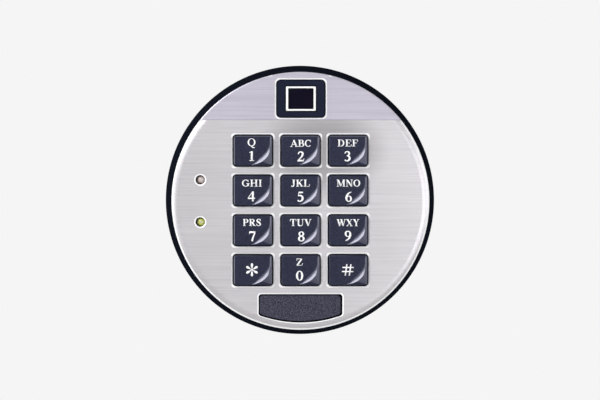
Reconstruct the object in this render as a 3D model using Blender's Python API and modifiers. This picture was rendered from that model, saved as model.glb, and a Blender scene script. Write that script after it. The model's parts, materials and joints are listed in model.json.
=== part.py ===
"""Keypad entry unit of an electronic safe lock: the round pad that hangs on the safe's door.

It is modelled lying on its back in the bench frame: +X is right, +Y points to twelve o'clock and
+Z comes out of the face, with the surface of the door at Z = 0. The door_face empty then stands
everything up, so that in the world the keys face -Y and +Z is up. All lengths are in metres.
"""

import math

import bmesh
import bpy

# Driving dimensions: the outline seen from the front
FACE_RADIUS = 0.0490
LIP_WIDTH = 0.0005
BASE_FLARE = 0.0037
BASE_RADIUS = FACE_RADIUS + BASE_FLARE
SEAM_HEIGHT_SHARE = 0.62653
SEAM_HEIGHT = FACE_RADIUS * SEAM_HEIGHT_SHARE
SEAT_GAP = 0.0003
FIT_GAP = 0.00015
OVERRUN = 0.0010
MERGE_DISTANCE = 0.00001

# Driving dimensions: the stack of pieces from the door to the front
PLATE_THICKNESS = 0.0025
COVER_THICKNESS = 0.0020
DRAWER_FLOOR = 0.0012
BATTERY_THICKNESS = 0.0170
BOARD_STANDOFF = 0.0014
BOARD_THICKNESS = 0.0016
MAT_THICKNESS = 0.0012
DOME_HEIGHT = 0.0017
FLANGE_THICKNESS = 0.0010
DECK_THICKNESS = 0.0018
FACE_THICKNESS = 0.0025
KEY_PROUD = 0.0010

# Facets on round pieces
LARGE_ROUND = 64
ROUND = 20
SMALL_ROUND = 10
CORNER_STEPS = 3
FLAT_ANGLE = math.radians(0.1)
SHARP_ANGLE = math.radians(35.0)

# Keys and their sculpted tops
KEY_WIDTH_SHARE = 0.29592
KEY_WIDTH = FACE_RADIUS * KEY_WIDTH_SHARE
KEY_HEIGHT_SHARE = 0.23061
KEY_HEIGHT = FACE_RADIUS * KEY_HEIGHT_SHARE
KEY_CORNER = 0.0010
KEY_SPACE_X_SHARE = 0.07245
KEY_SPACE_X = FACE_RADIUS * KEY_SPACE_X_SHARE
KEY_SPACE_Y_SHARE = 0.07755
KEY_SPACE_Y = FACE_RADIUS * KEY_SPACE_Y_SHARE
KEY_FIELD_Y_SHARE = -0.07347
KEY_FIELD_Y = FACE_RADIUS * KEY_FIELD_Y_SHARE
KEY_COLUMNS = 3
KEY_ROWS = 4
KEY_GAP = 0.0004
KEY_NAMES = (
    ("key_1", "key_2", "key_3"),
    ("key_4", "key_5", "key_6"),
    ("key_7", "key_8", "key_9"),
    ("key_star", "key_0", "key_hash"),
)
KEY_EDGE_DROP = 0.0001
KEY_BLANK_RISE = 0.0012
KEY_CHAMFER = 0.00035
KEY_WALL = 0.0013
KEY_ROOF = 0.0016
FLANGE_WIDTH = 0.0009
PLUNGER_RADIUS = 0.0025
RIGHT_FACET_SLOPE_SHARE = 0.64
BOTTOM_FACET_SLOPE_SHARE = 0.30
SCOOP_CORNER_SHARE = 0.14694
SCOOP_CORNER = FACE_RADIUS * SCOOP_CORNER_SHARE
SCOOP_FILLET = 0.0022
SCOOP_MARGIN_X_SHARE = 0.03878
SCOOP_MARGIN_X = FACE_RADIUS * SCOOP_MARGIN_X_SHARE
SCOOP_MARGIN_Y_SHARE = 0.03367
SCOOP_MARGIN_Y = FACE_RADIUS * SCOOP_MARGIN_Y_SHARE
SCOOP_HEIGHT = 0.0060
SCOOP_STEPS = 10
FILLET_STEPS = 3
OPENING_CHAMFER = 0.00025

# Housing shell and its posts
WALL = 0.0022
LIP_ROUND = 0.0006
LIP_STEPS = 3
RIM_LIFT = 0.0004
COVER_POST_RADIUS_SHARE = 0.05306
COVER_POST_RADIUS = FACE_RADIUS * COVER_POST_RADIUS_SHARE
COVER_POST_MERGE = 0.0007
COVER_POST_ANGLE = math.radians(28.0)
COVER_RIB_WIDTH = 0.0012
BOARD_POST_RADIUS_SHARE = 0.04898
BOARD_POST_RADIUS = FACE_RADIUS * BOARD_POST_RADIUS_SHARE
BOARD_POST_MARGIN_SHARE = 0.04694
BOARD_POST_MARGIN = FACE_RADIUS * BOARD_POST_MARGIN_SHARE
BOARD_POST_Y_SHARE = 0.36735
BOARD_POST_Y = FACE_RADIUS * BOARD_POST_Y_SHARE
THREAD_GAP = 0.0002

# Face plates, studs and nuts
RIM_WIDTH = 0.0030
RIM_DROP = 0.0018
RIM_STEPS = 4
SEAM_STEP = 0.0003
SLOPE_ANGLE = math.radians(4.0)
STUD_RADIUS = 0.0015
STUD_LENGTH = 0.0052
NUT_RADIUS_SHARE = 0.06531
NUT_RADIUS = FACE_RADIUS * NUT_RADIUS_SHARE
NUT_SIDES = 6
NUT_THICKNESS = 0.0022
LOWER_STUD_X_SHARE = 0.26531
LOWER_STUD_X = FACE_RADIUS * LOWER_STUD_X_SHARE
LOWER_STUD_MARGIN_SHARE = 0.05918
LOWER_STUD_MARGIN = FACE_RADIUS * LOWER_STUD_MARGIN_SHARE
UPPER_STUD_MARGIN = 0.0005
UPPER_STUD_Y_SHARE = 0.53061
UPPER_STUD_Y = FACE_RADIUS * UPPER_STUD_Y_SHARE
SENSOR_STUD_MARGIN_SHARE = 0.15102
SENSOR_STUD_MARGIN = FACE_RADIUS * SENSOR_STUD_MARGIN_SHARE
SENSOR_STUD_RISE_SHARE = 0.11224
SENSOR_STUD_RISE = FACE_RADIUS * SENSOR_STUD_RISE_SHARE

# Blank inlay at the foot of the face
INLAY_HALF_WIDTH_SHARE = 0.31837
INLAY_HALF_WIDTH = FACE_RADIUS * INLAY_HALF_WIDTH_SHARE
INLAY_TOP_SHARE = -0.72857
INLAY_TOP = FACE_RADIUS * INLAY_TOP_SHARE
INLAY_ARC_RADIUS_SHARE = 0.93673
INLAY_ARC_RADIUS = FACE_RADIUS * INLAY_ARC_RADIUS_SHARE
INLAY_CORNER = 0.0011
INLAY_THICKNESS = 0.0008
INLAY_SHIFT = 0.00015
INLAY_PLAY = 0.0002
INLAY_PROUD = 0.0001
ARC_STEPS = 16

# Indicator lamps
LED_RADIUS = 0.0015
LED_FLANGE_RADIUS = 0.0019
LED_FLANGE = 0.0010
LED_LENGTH = 0.0053
LED_SINK = 0.0008
LED_SHIFT = 0.00015
LED_HOLE_RADIUS = 0.0018
LED_MARGIN_SHARE = 0.25714
LED_MARGIN = FACE_RADIUS * LED_MARGIN_SHARE
LED_HALF_SPACING_SHARE = 0.16327
LED_HALF_SPACING = FACE_RADIUS * LED_HALF_SPACING_SHARE
LEG_WIDTH = 0.0005
LEG_HALF_PITCH = 0.00127
LEG_TAIL = 0.0010
LEG_HOLE_RADIUS = 0.0006
DOME_RINGS = 3

# Fingerprint sensor
SENSOR_RISE_SHARE = 0.16531
SENSOR_Y = SEAM_HEIGHT + FACE_RADIUS * SENSOR_RISE_SHARE
BEZEL_WIDTH_SHARE = 0.38367
BEZEL_WIDTH = FACE_RADIUS * BEZEL_WIDTH_SHARE
BEZEL_HEIGHT_SHARE = 0.29592
BEZEL_HEIGHT = FACE_RADIUS * BEZEL_HEIGHT_SHARE
BEZEL_CORNER = 0.0014
BEZEL_PROUD = 0.0005
BEZEL_STEP = 0.0012
FRAME_WIDTH_SHARE = 0.23673
FRAME_WIDTH = FACE_RADIUS * FRAME_WIDTH_SHARE
FRAME_HEIGHT_SHARE = 0.19796
FRAME_HEIGHT = FACE_RADIUS * FRAME_HEIGHT_SHARE
FRAME_WALL = 0.00095
FRAME_PROUD = 0.0006
FRAME_CORNER = 0.0004
WINDOW_PROUD = 0.00045
SENSOR_BOARD_WIDTH_SHARE = 0.40816
SENSOR_BOARD_WIDTH = FACE_RADIUS * SENSOR_BOARD_WIDTH_SHARE
SENSOR_BOARD_HEIGHT_SHARE = 0.26531
SENSOR_BOARD_HEIGHT = FACE_RADIUS * SENSOR_BOARD_HEIGHT_SHARE
SENSOR_BOARD_THICKNESS = 0.0010
RIBBON_WIDTH_SHARE = 0.16327
RIBBON_WIDTH = FACE_RADIUS * RIBBON_WIDTH_SHARE
RIBBON_THICKNESS = 0.0003
RIBBON_OVERLAP = 0.0035
RIBBON_BEND = 0.0012
RIBBON_STEPS = 5
CONNECTOR_WIDTH_SHARE = 0.20408
CONNECTOR_WIDTH = FACE_RADIUS * CONNECTOR_WIDTH_SHARE
CONNECTOR_HEIGHT = 0.0035
CONNECTOR_DEPTH = 0.0016
CONNECTOR_INSET = 0.0024

# Rubber mat under the keys
MAT_MARGIN_SHARE = 0.05102
MAT_MARGIN = FACE_RADIUS * MAT_MARGIN_SHARE
MAT_CORNER = 0.0030
MAT_INSET = 0.0005
DOME_BASE_RADIUS_SHARE = 0.10204
DOME_BASE_RADIUS = FACE_RADIUS * DOME_BASE_RADIUS_SHARE
DOME_TOP_RADIUS_SHARE = 0.06122
DOME_TOP_RADIUS = FACE_RADIUS * DOME_TOP_RADIUS_SHARE
DOME_WALL = 0.0006
DOME_CAVITY_INSET = 0.0009

# Circuit board and what is soldered to its back
BOARD_EDGE_GAP = 0.0010
BOARD_TOP_GAP = 0.0012
SOCKET_WIDTH = 0.0132
SOCKET_HEIGHT = 0.0130
SOCKET_DEPTH = 0.0155
PLUG_WIDTH = 0.0099
PLUG_HEIGHT = 0.0069
PLUG_DEPTH = 0.0120
LATCH_WIDTH = 0.0040
LATCH_HEIGHT = 0.0020
BUZZER_RADIUS = 0.0060
BUZZER_HEIGHT = 0.0060
BUZZER_PORT_RADIUS = 0.0010
BUZZER_X_SHARE = -0.44898
BUZZER_X = FACE_RADIUS * BUZZER_X_SHARE
BUZZER_Y_SHARE = 0.28571
BUZZER_Y = FACE_RADIUS * BUZZER_Y_SHARE
CHIP_WIDTH_SHARE = 0.20408
CHIP_WIDTH = FACE_RADIUS * CHIP_WIDTH_SHARE
CHIP_THICKNESS = 0.0016
CHIP_X_SHARE = 0.36735
CHIP_X = FACE_RADIUS * CHIP_X_SHARE
CHIP_Y_SHARE = 0.22449
CHIP_Y = FACE_RADIUS * CHIP_Y_SHARE
CAPACITOR_RADIUS = 0.0040
CAPACITOR_HEIGHT = 0.0110
CAPACITOR_BASE = 0.0015
CAPACITOR_NECK = 0.0004
CAPACITOR_X_SHARE = 0.45918
CAPACITOR_X = FACE_RADIUS * CAPACITOR_X_SHARE
CAPACITOR_Y_SHARE = 0.47959
CAPACITOR_Y = FACE_RADIUS * CAPACITOR_Y_SHARE

# Battery, its drawer and its contacts
BATTERY_LENGTH_SHARE = 0.93265
BATTERY_LENGTH = FACE_RADIUS * BATTERY_LENGTH_SHARE
BATTERY_HEIGHT_SHARE = 0.54082
BATTERY_HEIGHT = FACE_RADIUS * BATTERY_HEIGHT_SHARE
BATTERY_CORNER = 0.0020
BATTERY_TOP_SHARE = -0.23469
BATTERY_TOP = FACE_RADIUS * BATTERY_TOP_SHARE
TERMINAL_LENGTH = 0.0028
TERMINAL_RADIUS_PLUS = 0.0028
TERMINAL_RADIUS_MINUS = 0.0042
TERMINAL_HALF_PITCH_SHARE = 0.12959
TERMINAL_HALF_PITCH = FACE_RADIUS * TERMINAL_HALF_PITCH_SHARE
DRAWER_WALL = 0.0012
DRAWER_WALL_HEIGHT = 0.0038
FASCIA_MARGIN = 0.00125
FASCIA_FRONT_GAP = 0.0007
GRIP_GROOVES = 3
GRIP_WIDTH_SHARE = 0.44898
GRIP_WIDTH = FACE_RADIUS * GRIP_WIDTH_SHARE
GRIP_HEIGHT = 0.0014
GRIP_PITCH = 0.0032
GRIP_DEPTH = 0.0007
RAIL_THICKNESS = 0.0014
RAIL_HEIGHT = 0.0030
RAIL_END_GAP = 0.0030
CONTACT_BLOCK_THICKNESS = 0.0030
CONTACT_BLOCK_LENGTH_SHARE = 0.40816
CONTACT_BLOCK_LENGTH = FACE_RADIUS * CONTACT_BLOCK_LENGTH_SHARE
CONTACT_BLOCK_DEPTH = 0.0128
CONTACT_WIDTH = 0.0040
CONTACT_THICKNESS = 0.0004
CONTACT_REACH = 0.0025
CONTACT_FOOT = 0.0030

# Rear cover, mounting plate and its hooks
COVER_HOLE_RADIUS = 0.0110
PLATE_MARGIN = 0.0070
PLATE_RADIUS = FACE_RADIUS - PLATE_MARGIN
PLATE_HOLE_RADIUS = 0.0080
DOOR_SCREW_HALF_PITCH_SHARE = 0.42143
DOOR_SCREW_HALF_PITCH = FACE_RADIUS * DOOR_SCREW_HALF_PITCH_SHARE
DOOR_SLOT_WIDTH = 0.0046
DOOR_SLOT_LENGTH = 0.0090
DOOR_SLOT_SINK = 0.0020
HOOK_WIDTH_SHARE = 0.16327
HOOK_WIDTH = FACE_RADIUS * HOOK_WIDTH_SHARE
HOOK_THICKNESS = 0.0015
HOOK_LIP = 0.0035
HOOK_WINDOW_HEIGHT = 0.0065
UPPER_HOOK_X_SHARE = 0.48980
UPPER_HOOK_X = FACE_RADIUS * UPPER_HOOK_X_SHARE
UPPER_HOOK_Y_SHARE = 0.32653
UPPER_HOOK_Y = FACE_RADIUS * UPPER_HOOK_Y_SHARE
LOWER_HOOK_X_SHARE = 0.67347
LOWER_HOOK_X = FACE_RADIUS * LOWER_HOOK_X_SHARE
LOWER_HOOK_Y_SHARE = -0.10204
LOWER_HOOK_Y = FACE_RADIUS * LOWER_HOOK_Y_SHARE

# Screws
BOARD_SCREW_RADIUS = 0.0011
BOARD_SCREW_LENGTH = 0.0055
BOARD_SCREW_HEAD_RADIUS = 0.0022
BOARD_SCREW_HEAD = 0.0015
COVER_SCREW_RADIUS = 0.0012
COVER_SCREW_LENGTH = 0.0090
COVER_SCREW_HEAD_RADIUS = 0.0024
COVER_SCREW_HEAD = 0.0015
HEAD_ROUND = 0.0005
LOCK_SCREW_RADIUS = 0.0015
LOCK_SCREW_HEAD_RADIUS = 0.0029
LOCK_SCREW_LENGTH = 0.0040
LOCK_SCREW_SINK = 0.0002
LOCK_SCREW_Y_SHARE = -0.67347
LOCK_SCREW_Y = FACE_RADIUS * LOCK_SCREW_Y_SHARE

# Levels above the door, from the back to the front
plate_front = PLATE_THICKNESS
cover_back = plate_front + SEAT_GAP
cover_front = cover_back + COVER_THICKNESS
drawer_back = cover_front + SEAT_GAP
drawer_floor_front = drawer_back + DRAWER_FLOOR
battery_back = drawer_floor_front + SEAT_GAP
battery_front = battery_back + BATTERY_THICKNESS
board_back = battery_front + BOARD_STANDOFF
board_front = board_back + BOARD_THICKNESS
mat_back = board_front + SEAT_GAP
mat_front = mat_back + MAT_THICKNESS
dome_front = mat_front + DOME_HEIGHT
flange_back = dome_front + SEAT_GAP
flange_front = flange_back + FLANGE_THICKNESS
deck_back = flange_front + SEAT_GAP
deck_front = deck_back + DECK_THICKNESS
face_back = deck_front + SEAT_GAP
face_front = face_back + FACE_THICKNESS
key_floor = face_front + KEY_PROUD
slope_front = face_front - SEAM_STEP
solder_side = board_back - SEAT_GAP
nut_front = deck_back - SEAT_GAP
post_back = cover_front + SEAT_GAP

# Places across the face
pitch_x = KEY_WIDTH + KEY_SPACE_X
pitch_y = KEY_HEIGHT + KEY_SPACE_Y
field_half_width = (KEY_COLUMNS - 1) / 2 * pitch_x + KEY_WIDTH / 2
field_half_height = (KEY_ROWS - 1) / 2 * pitch_y + KEY_HEIGHT / 2
mat_half_width = field_half_width + MAT_MARGIN
mat_half_height = field_half_height + MAT_MARGIN
front_radius = FACE_RADIUS + LIP_WIDTH
cover_post_circle = front_radius - WALL - COVER_POST_RADIUS + COVER_POST_MERGE
board_radius = cover_post_circle - COVER_POST_RADIUS - BOARD_EDGE_GAP
board_top = SENSOR_Y - SENSOR_BOARD_HEIGHT / 2 - BOARD_TOP_GAP
board_post_x = mat_half_width + BOARD_POST_MARGIN + BOARD_POST_RADIUS
led_x = -(field_half_width + LED_MARGIN)
lower_stud_y = KEY_FIELD_Y - mat_half_height - LOWER_STUD_MARGIN - NUT_RADIUS
upper_stud_x = mat_half_width + UPPER_STUD_MARGIN + NUT_RADIUS
sensor_stud_x = BEZEL_WIDTH / 2 + SENSOR_STUD_MARGIN + NUT_RADIUS
battery_y = BATTERY_TOP - BATTERY_HEIGHT / 2
battery_end = (BATTERY_LENGTH + TERMINAL_LENGTH) / 2
bay_half_width = battery_end + SEAT_GAP
drawer_half_width = bay_half_width + DRAWER_WALL
fascia_half_width = drawer_half_width + FASCIA_MARGIN
fascia_front = battery_front + FASCIA_FRONT_GAP

key_places = [
    ((column - (KEY_COLUMNS - 1) / 2) * pitch_x, KEY_FIELD_Y + ((KEY_ROWS - 1) / 2 - row) * pitch_y)
    for row in range(KEY_ROWS)
    for column in range(KEY_COLUMNS)
]
led_places = {"upper_led": (led_x, LED_HALF_SPACING), "lower_led": (led_x, -LED_HALF_SPACING)}
board_post_places = [(x, y) for x in (-board_post_x, board_post_x) for y in (-BOARD_POST_Y, BOARD_POST_Y)]
cover_post_x = cover_post_circle * math.cos(COVER_POST_ANGLE)
cover_post_y = cover_post_circle * math.sin(COVER_POST_ANGLE)
cover_post_places = [(x, y) for x in (-cover_post_x, cover_post_x) for y in (-cover_post_y, cover_post_y)]
face_stud_places = [
    (-LOWER_STUD_X, lower_stud_y),
    (LOWER_STUD_X, lower_stud_y),
    (-upper_stud_x, UPPER_STUD_Y),
    (upper_stud_x, UPPER_STUD_Y),
]
sensor_stud_places = [(x, SEAM_HEIGHT + SENSOR_STUD_RISE) for x in (-sensor_stud_x, sensor_stud_x)]
hook_places = [
    (-UPPER_HOOK_X, UPPER_HOOK_Y),
    (UPPER_HOOK_X, UPPER_HOOK_Y),
    (-LOWER_HOOK_X, LOWER_HOOK_Y),
    (LOWER_HOOK_X, LOWER_HOOK_Y),
]


def wall_radius(level, inset=0.0):
    """The outside of the tapered housing at a level above the door, less an inset."""
    taper_length = deck_front - LIP_ROUND - RIM_LIFT
    share = (level - RIM_LIFT) / taper_length
    return BASE_RADIUS + (front_radius - BASE_RADIUS) * share - inset


def clear_scene():
    for obj in list(bpy.data.objects):
        bpy.data.objects.remove(obj)


def make_collection(name):
    made = bpy.data.collections.new(name)
    bpy.context.scene.collection.children.link(made)
    return made


def make_material(name, colour, roughness, metallic=0.0):
    made = bpy.data.materials.new(name)
    made.use_nodes = True
    shader = made.node_tree.nodes["Principled BSDF"]
    shader.inputs["Base Color"].default_value = (*colour, 1.0)
    shader.inputs["Roughness"].default_value = roughness
    shader.inputs["Metallic"].default_value = metallic
    return made


clear_scene()
parts = make_collection("safe_lock")
cutters = make_collection("cutters")

brushed_face = make_material("brushed_face", (0.58, 0.57, 0.58), 0.35, 0.9)
black_housing = make_material("black_housing", (0.012, 0.013, 0.018), 0.45)
key_plastic = make_material("key_plastic", (0.045, 0.047, 0.075), 0.35)
inlay_grain = make_material("inlay_grain", (0.060, 0.060, 0.085), 0.6)
sensor_black = make_material("sensor_black", (0.015, 0.018, 0.032), 0.4)
frame_white = make_material("frame_white", (0.85, 0.86, 0.88), 0.4)
sensor_glass = make_material("sensor_glass", (0.012, 0.009, 0.022), 0.15)
clear_lens = make_material("clear_lens", (0.62, 0.50, 0.47), 0.15)
green_lens = make_material("green_lens", (0.50, 0.58, 0.08), 0.15)
mat_rubber = make_material("mat_rubber", (0.35, 0.36, 0.36), 0.8)
board_green = make_material("board_green", (0.02, 0.12, 0.05), 0.45)
zinc_steel = make_material("zinc_steel", (0.52, 0.52, 0.50), 0.35, 0.9)
contact_brass = make_material("contact_brass", (0.70, 0.55, 0.25), 0.3, 0.9)
battery_case = make_material("battery_case", (0.05, 0.05, 0.06), 0.4)
component_black = make_material("component_black", (0.02, 0.02, 0.02), 0.5)
ribbon_film = make_material("ribbon_film", (0.45, 0.22, 0.05), 0.4)
capacitor_sleeve = make_material("capacitor_sleeve", (0.02, 0.03, 0.10), 0.35)


def add_object(name, mesh, material=None, place=(0.0, 0.0)):
    """A shape with a material is a part of the lock. Without one it only cuts or joins another."""
    made = bpy.data.objects.new(name, mesh)
    made.location = (place[0], place[1], 0.0)
    if material:
        mesh.materials.clear()
        mesh.materials.append(material)
        parts.objects.link(made)
        return made
    cutters.objects.link(made)
    made.hide_render = True
    made.display_type = "WIRE"
    return made


def finish_mesh(name, shape):
    mesh = bpy.data.meshes.new(name)
    shape.to_mesh(mesh)
    shape.free()
    return mesh


def box_shape(size, back, front, corner=0.0, flare=0.0):
    """A box between two levels, with rounded upright edges. flare widens its front face."""
    shape = bmesh.new()
    bmesh.ops.create_cube(shape, size=1)
    bmesh.ops.scale(shape, vec=(size[0], size[1], front - back), verts=shape.verts)
    bmesh.ops.translate(shape, vec=(0, 0, (front + back) / 2), verts=shape.verts)
    if corner:
        upright = [edge for edge in shape.edges if edge.verts[0].co.z != edge.verts[1].co.z]
        bmesh.ops.bevel(
            shape, geom=upright, offset=corner, segments=CORNER_STEPS, profile=0.5, affect="EDGES"
        )
    if flare:
        middle = (front + back) / 2
        wider = (1 + 2 * flare / size[0], 1 + 2 * flare / size[1], 1)
        bmesh.ops.scale(shape, vec=wider, verts=[v for v in shape.verts if v.co.z > middle])
    return shape


def block(name, size, back, front, place=(0.0, 0.0), corner=0.0, flare=0.0, material=None):
    return add_object(name, finish_mesh(name, box_shape(size, back, front, corner, flare)), material, place)


def rod(name, radius, back, front, place=(0.0, 0.0), sides=ROUND, front_radius=0.0, material=None):
    """A cylinder between two levels, or a cone where its front radius is given."""
    shape = bmesh.new()
    bmesh.ops.create_cone(
        shape,
        cap_ends=True,
        segments=sides,
        radius1=radius,
        radius2=front_radius or radius,
        depth=front - back,
    )
    bmesh.ops.translate(shape, vec=(0, 0, (front + back) / 2), verts=shape.verts)
    return add_object(name, finish_mesh(name, shape), material, place)


def turned(name, profile, steps=LARGE_ROUND, place=(0.0, 0.0), ring=False, material=None):
    """A profile of (radius, level) points turned round the axis. It runs down its outer side."""
    points = [(radius, 0, level) for radius, level in profile]
    edges = [(start, start + 1) for start in range(len(points) - 1)]
    if ring:
        edges.append((len(points) - 1, 0))
    mesh = bpy.data.meshes.new(name)
    mesh.from_pydata(points, edges, [])
    made = add_object(name, mesh, material, place)
    turn = made.modifiers.new("turn", "SCREW")
    turn.axis = "Z"
    turn.steps = steps
    turn.render_steps = steps
    turn.use_merge_vertices = True
    turn.merge_threshold = MERGE_DISTANCE
    flat = made.modifiers.new("flat_ends", "DECIMATE")
    flat.decimate_type = "DISSOLVE"
    flat.angle_limit = FLAT_ANGLE
    return made


def evaluated_mesh(source):
    bpy.context.view_layer.update()
    graph = bpy.context.evaluated_depsgraph_get()
    return bpy.data.meshes.new_from_object(source.evaluated_get(graph))


def finished_mesh(source, helpers):
    """The mesh of a shape with its cuts and joins made, for copies to share."""
    mesh = evaluated_mesh(source)
    for helper in (source, *helpers):
        bpy.data.objects.remove(helper)
    return mesh


def flat_shape(name, outline, back, front, fillet=0.0, material=None):
    """A flat outline given thickness. A fillet rounds both faces outwards from the outline."""
    curve = bpy.data.curves.new(name, "CURVE")
    curve.dimensions = "2D"
    curve.fill_mode = "BOTH"
    curve.extrude = (front - back) / 2 - fillet
    curve.bevel_depth = fillet
    curve.bevel_resolution = FILLET_STEPS
    line = curve.splines.new("POLY")
    line.points.add(len(outline) - 1)
    for point, (x, y) in zip(line.points, outline):
        point.co = (x, y, 0, 1)
    line.use_cyclic_u = True
    guide = bpy.data.objects.new(name, curve)
    parts.objects.link(guide)
    mesh = finished_mesh(guide, ())
    shape = bmesh.new()
    shape.from_mesh(mesh)
    bmesh.ops.remove_doubles(shape, verts=shape.verts, dist=MERGE_DISTANCE)
    bmesh.ops.translate(shape, vec=(0, 0, (front + back) / 2), verts=shape.verts)
    return add_object(name, finish_mesh(name, shape), material)


def spread(name, source, places):
    """Copies of a shape at several places, as one tool that takes the place of the shape."""
    shape = bmesh.new()
    for x, y in places:
        made_before = set(shape.verts)
        shape.from_mesh(source.data)
        copied = [vert for vert in shape.verts if vert not in made_before]
        bmesh.ops.translate(shape, vec=(x, y, 0), verts=copied)
    bpy.data.objects.remove(source)
    return add_object(name, finish_mesh(name, shape))


def combine(target, operation, *tools):
    for tool in tools:
        step = target.modifiers.new(tool.name, "BOOLEAN")
        step.operation = operation
        step.object = tool


def cut(target, *tools):
    combine(target, "DIFFERENCE", *tools)


def join(target, *tools):
    combine(target, "UNION", *tools)


def trim_to(target, tool):
    combine(target, "INTERSECT", tool)


def lean_front(made):
    """Tips what lies in front of a piece's back to the slope of the upper plate."""
    for vert in made.data.vertices:
        if vert.co.z > face_back + OVERRUN:
            vert.co.z -= (vert.co.y + made.location.y - SEAM_HEIGHT) * math.tan(SLOPE_ANGLE)


def arc(centre, radius, start, end, steps):
    """Points along an arc, angles in radians."""
    angles = [start + (end - start) * step / steps for step in range(steps + 1)]
    return [(centre[0] + radius * math.cos(a), centre[1] + radius * math.sin(a)) for a in angles]


# Openings that the housing's deck and the plates share
key_openings = spread(
    "key_openings",
    block(
        "key_opening",
        (KEY_WIDTH + 2 * KEY_GAP, KEY_HEIGHT + 2 * KEY_GAP),
        deck_back - OVERRUN,
        face_front + OVERRUN,
        corner=KEY_CORNER + KEY_GAP,
    ),
    key_places,
)
led_openings = spread(
    "led_openings",
    rod("led_opening", LED_HOLE_RADIUS, deck_back - OVERRUN, face_front + OVERRUN),
    led_places.values(),
)


def build_mounting_plate():
    """The steel disc that is screwed to the door, with four hooks for the unit to hang on."""
    plate = rod(
        "mounting_plate", PLATE_RADIUS, 0.0, plate_front, sides=LARGE_ROUND, material=zinc_steel
    )
    hook_front = cover_front + SEAT_GAP + HOOK_THICKNESS
    stems = spread(
        "hook_stems",
        block("hook_stem", (HOOK_WIDTH, HOOK_THICKNESS), plate_front - OVERRUN, hook_front),
        [(x, y - HOOK_THICKNESS / 2) for x, y in hook_places],
    )
    lips = spread(
        "hook_lips",
        block("hook_lip", (HOOK_WIDTH, HOOK_LIP + HOOK_THICKNESS), cover_front + SEAT_GAP, hook_front),
        [(x, y + (HOOK_LIP - HOOK_THICKNESS) / 2) for x, y in hook_places],
    )
    join(plate, stems, lips)
    slot_places = [(-DOOR_SCREW_HALF_PITCH, 0.0), (DOOR_SCREW_HALF_PITCH, 0.0)]
    slot_size = (DOOR_SLOT_WIDTH, DOOR_SLOT_LENGTH)
    slot_corner = DOOR_SLOT_WIDTH / 2 - MERGE_DISTANCE
    slots = spread(
        "door_slots",
        block("door_slot", slot_size, -OVERRUN, plate_front + OVERRUN, corner=slot_corner),
        slot_places,
    )
    sinks = spread(
        "door_sinks",
        block(
            "door_sink",
            slot_size,
            plate_front - DOOR_SLOT_SINK,
            plate_front + OVERRUN,
            corner=slot_corner,
            flare=DOOR_SLOT_SINK + OVERRUN,
        ),
        slot_places,
    )
    cable_hole = rod("plate_cable_hole", PLATE_HOLE_RADIUS, -OVERRUN, plate_front + OVERRUN)
    lock_hole = rod(
        "plate_lock_hole",
        LOCK_SCREW_RADIUS + THREAD_GAP,
        -OVERRUN,
        plate_front + OVERRUN,
        (0.0, LOCK_SCREW_Y),
        SMALL_ROUND,
    )
    cut(plate, slots, sinks, cable_hole, lock_hole)


def build_rear_cover():
    """The black disc that closes the housing, with windows for the hooks and rails for the drawer."""
    cover = rod(
        "rear_cover",
        wall_radius(cover_front, WALL + SEAT_GAP),
        cover_back,
        cover_front,
        sides=LARGE_ROUND,
        material=black_housing,
    )
    rail_x = drawer_half_width + SEAT_GAP + RAIL_THICKNESS / 2
    rail_reach = wall_radius(cover_front, WALL + RAIL_END_GAP)
    rail_start = -math.sqrt(rail_reach**2 - (rail_x + RAIL_THICKNESS / 2) ** 2)
    rails = spread(
        "drawer_rails",
        block(
            "drawer_rail",
            (RAIL_THICKNESS, BATTERY_TOP - rail_start),
            cover_back + COVER_THICKNESS / 2,
            cover_front + RAIL_HEIGHT,
        ),
        [(x, (BATTERY_TOP + rail_start) / 2) for x in (-rail_x, rail_x)],
    )
    join(cover, rails)
    windows = spread(
        "hook_windows",
        block(
            "hook_window",
            (HOOK_WIDTH + 2 * SEAT_GAP, HOOK_WINDOW_HEIGHT),
            cover_back - OVERRUN,
            cover_front + OVERRUN,
        ),
        [(x, y + SEAT_GAP - HOOK_WINDOW_HEIGHT / 2) for x, y in hook_places],
    )
    cable_hole = rod("cover_cable_hole", COVER_HOLE_RADIUS, cover_back - OVERRUN, cover_front + OVERRUN)
    screw_holes = spread(
        "cover_screw_holes",
        rod(
            "cover_screw_hole",
            COVER_SCREW_RADIUS + SEAT_GAP,
            cover_back - OVERRUN,
            cover_front + OVERRUN,
            sides=SMALL_ROUND,
        ),
        cover_post_places,
    )
    lock_place = (0.0, LOCK_SCREW_Y)
    lock_hole = rod(
        "cover_lock_hole",
        LOCK_SCREW_RADIUS + SEAT_GAP,
        cover_back - OVERRUN,
        cover_front,
        lock_place,
    )
    lock_sink = rod(
        "cover_lock_sink",
        LOCK_SCREW_RADIUS + SEAT_GAP,
        cover_front - (LOCK_SCREW_HEAD_RADIUS - LOCK_SCREW_RADIUS),
        cover_front + OVERRUN,
        lock_place,
        front_radius=LOCK_SCREW_HEAD_RADIUS + SEAT_GAP + OVERRUN,
    )
    cut(cover, windows, cable_hole, screw_holes, lock_hole, lock_sink)


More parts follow.
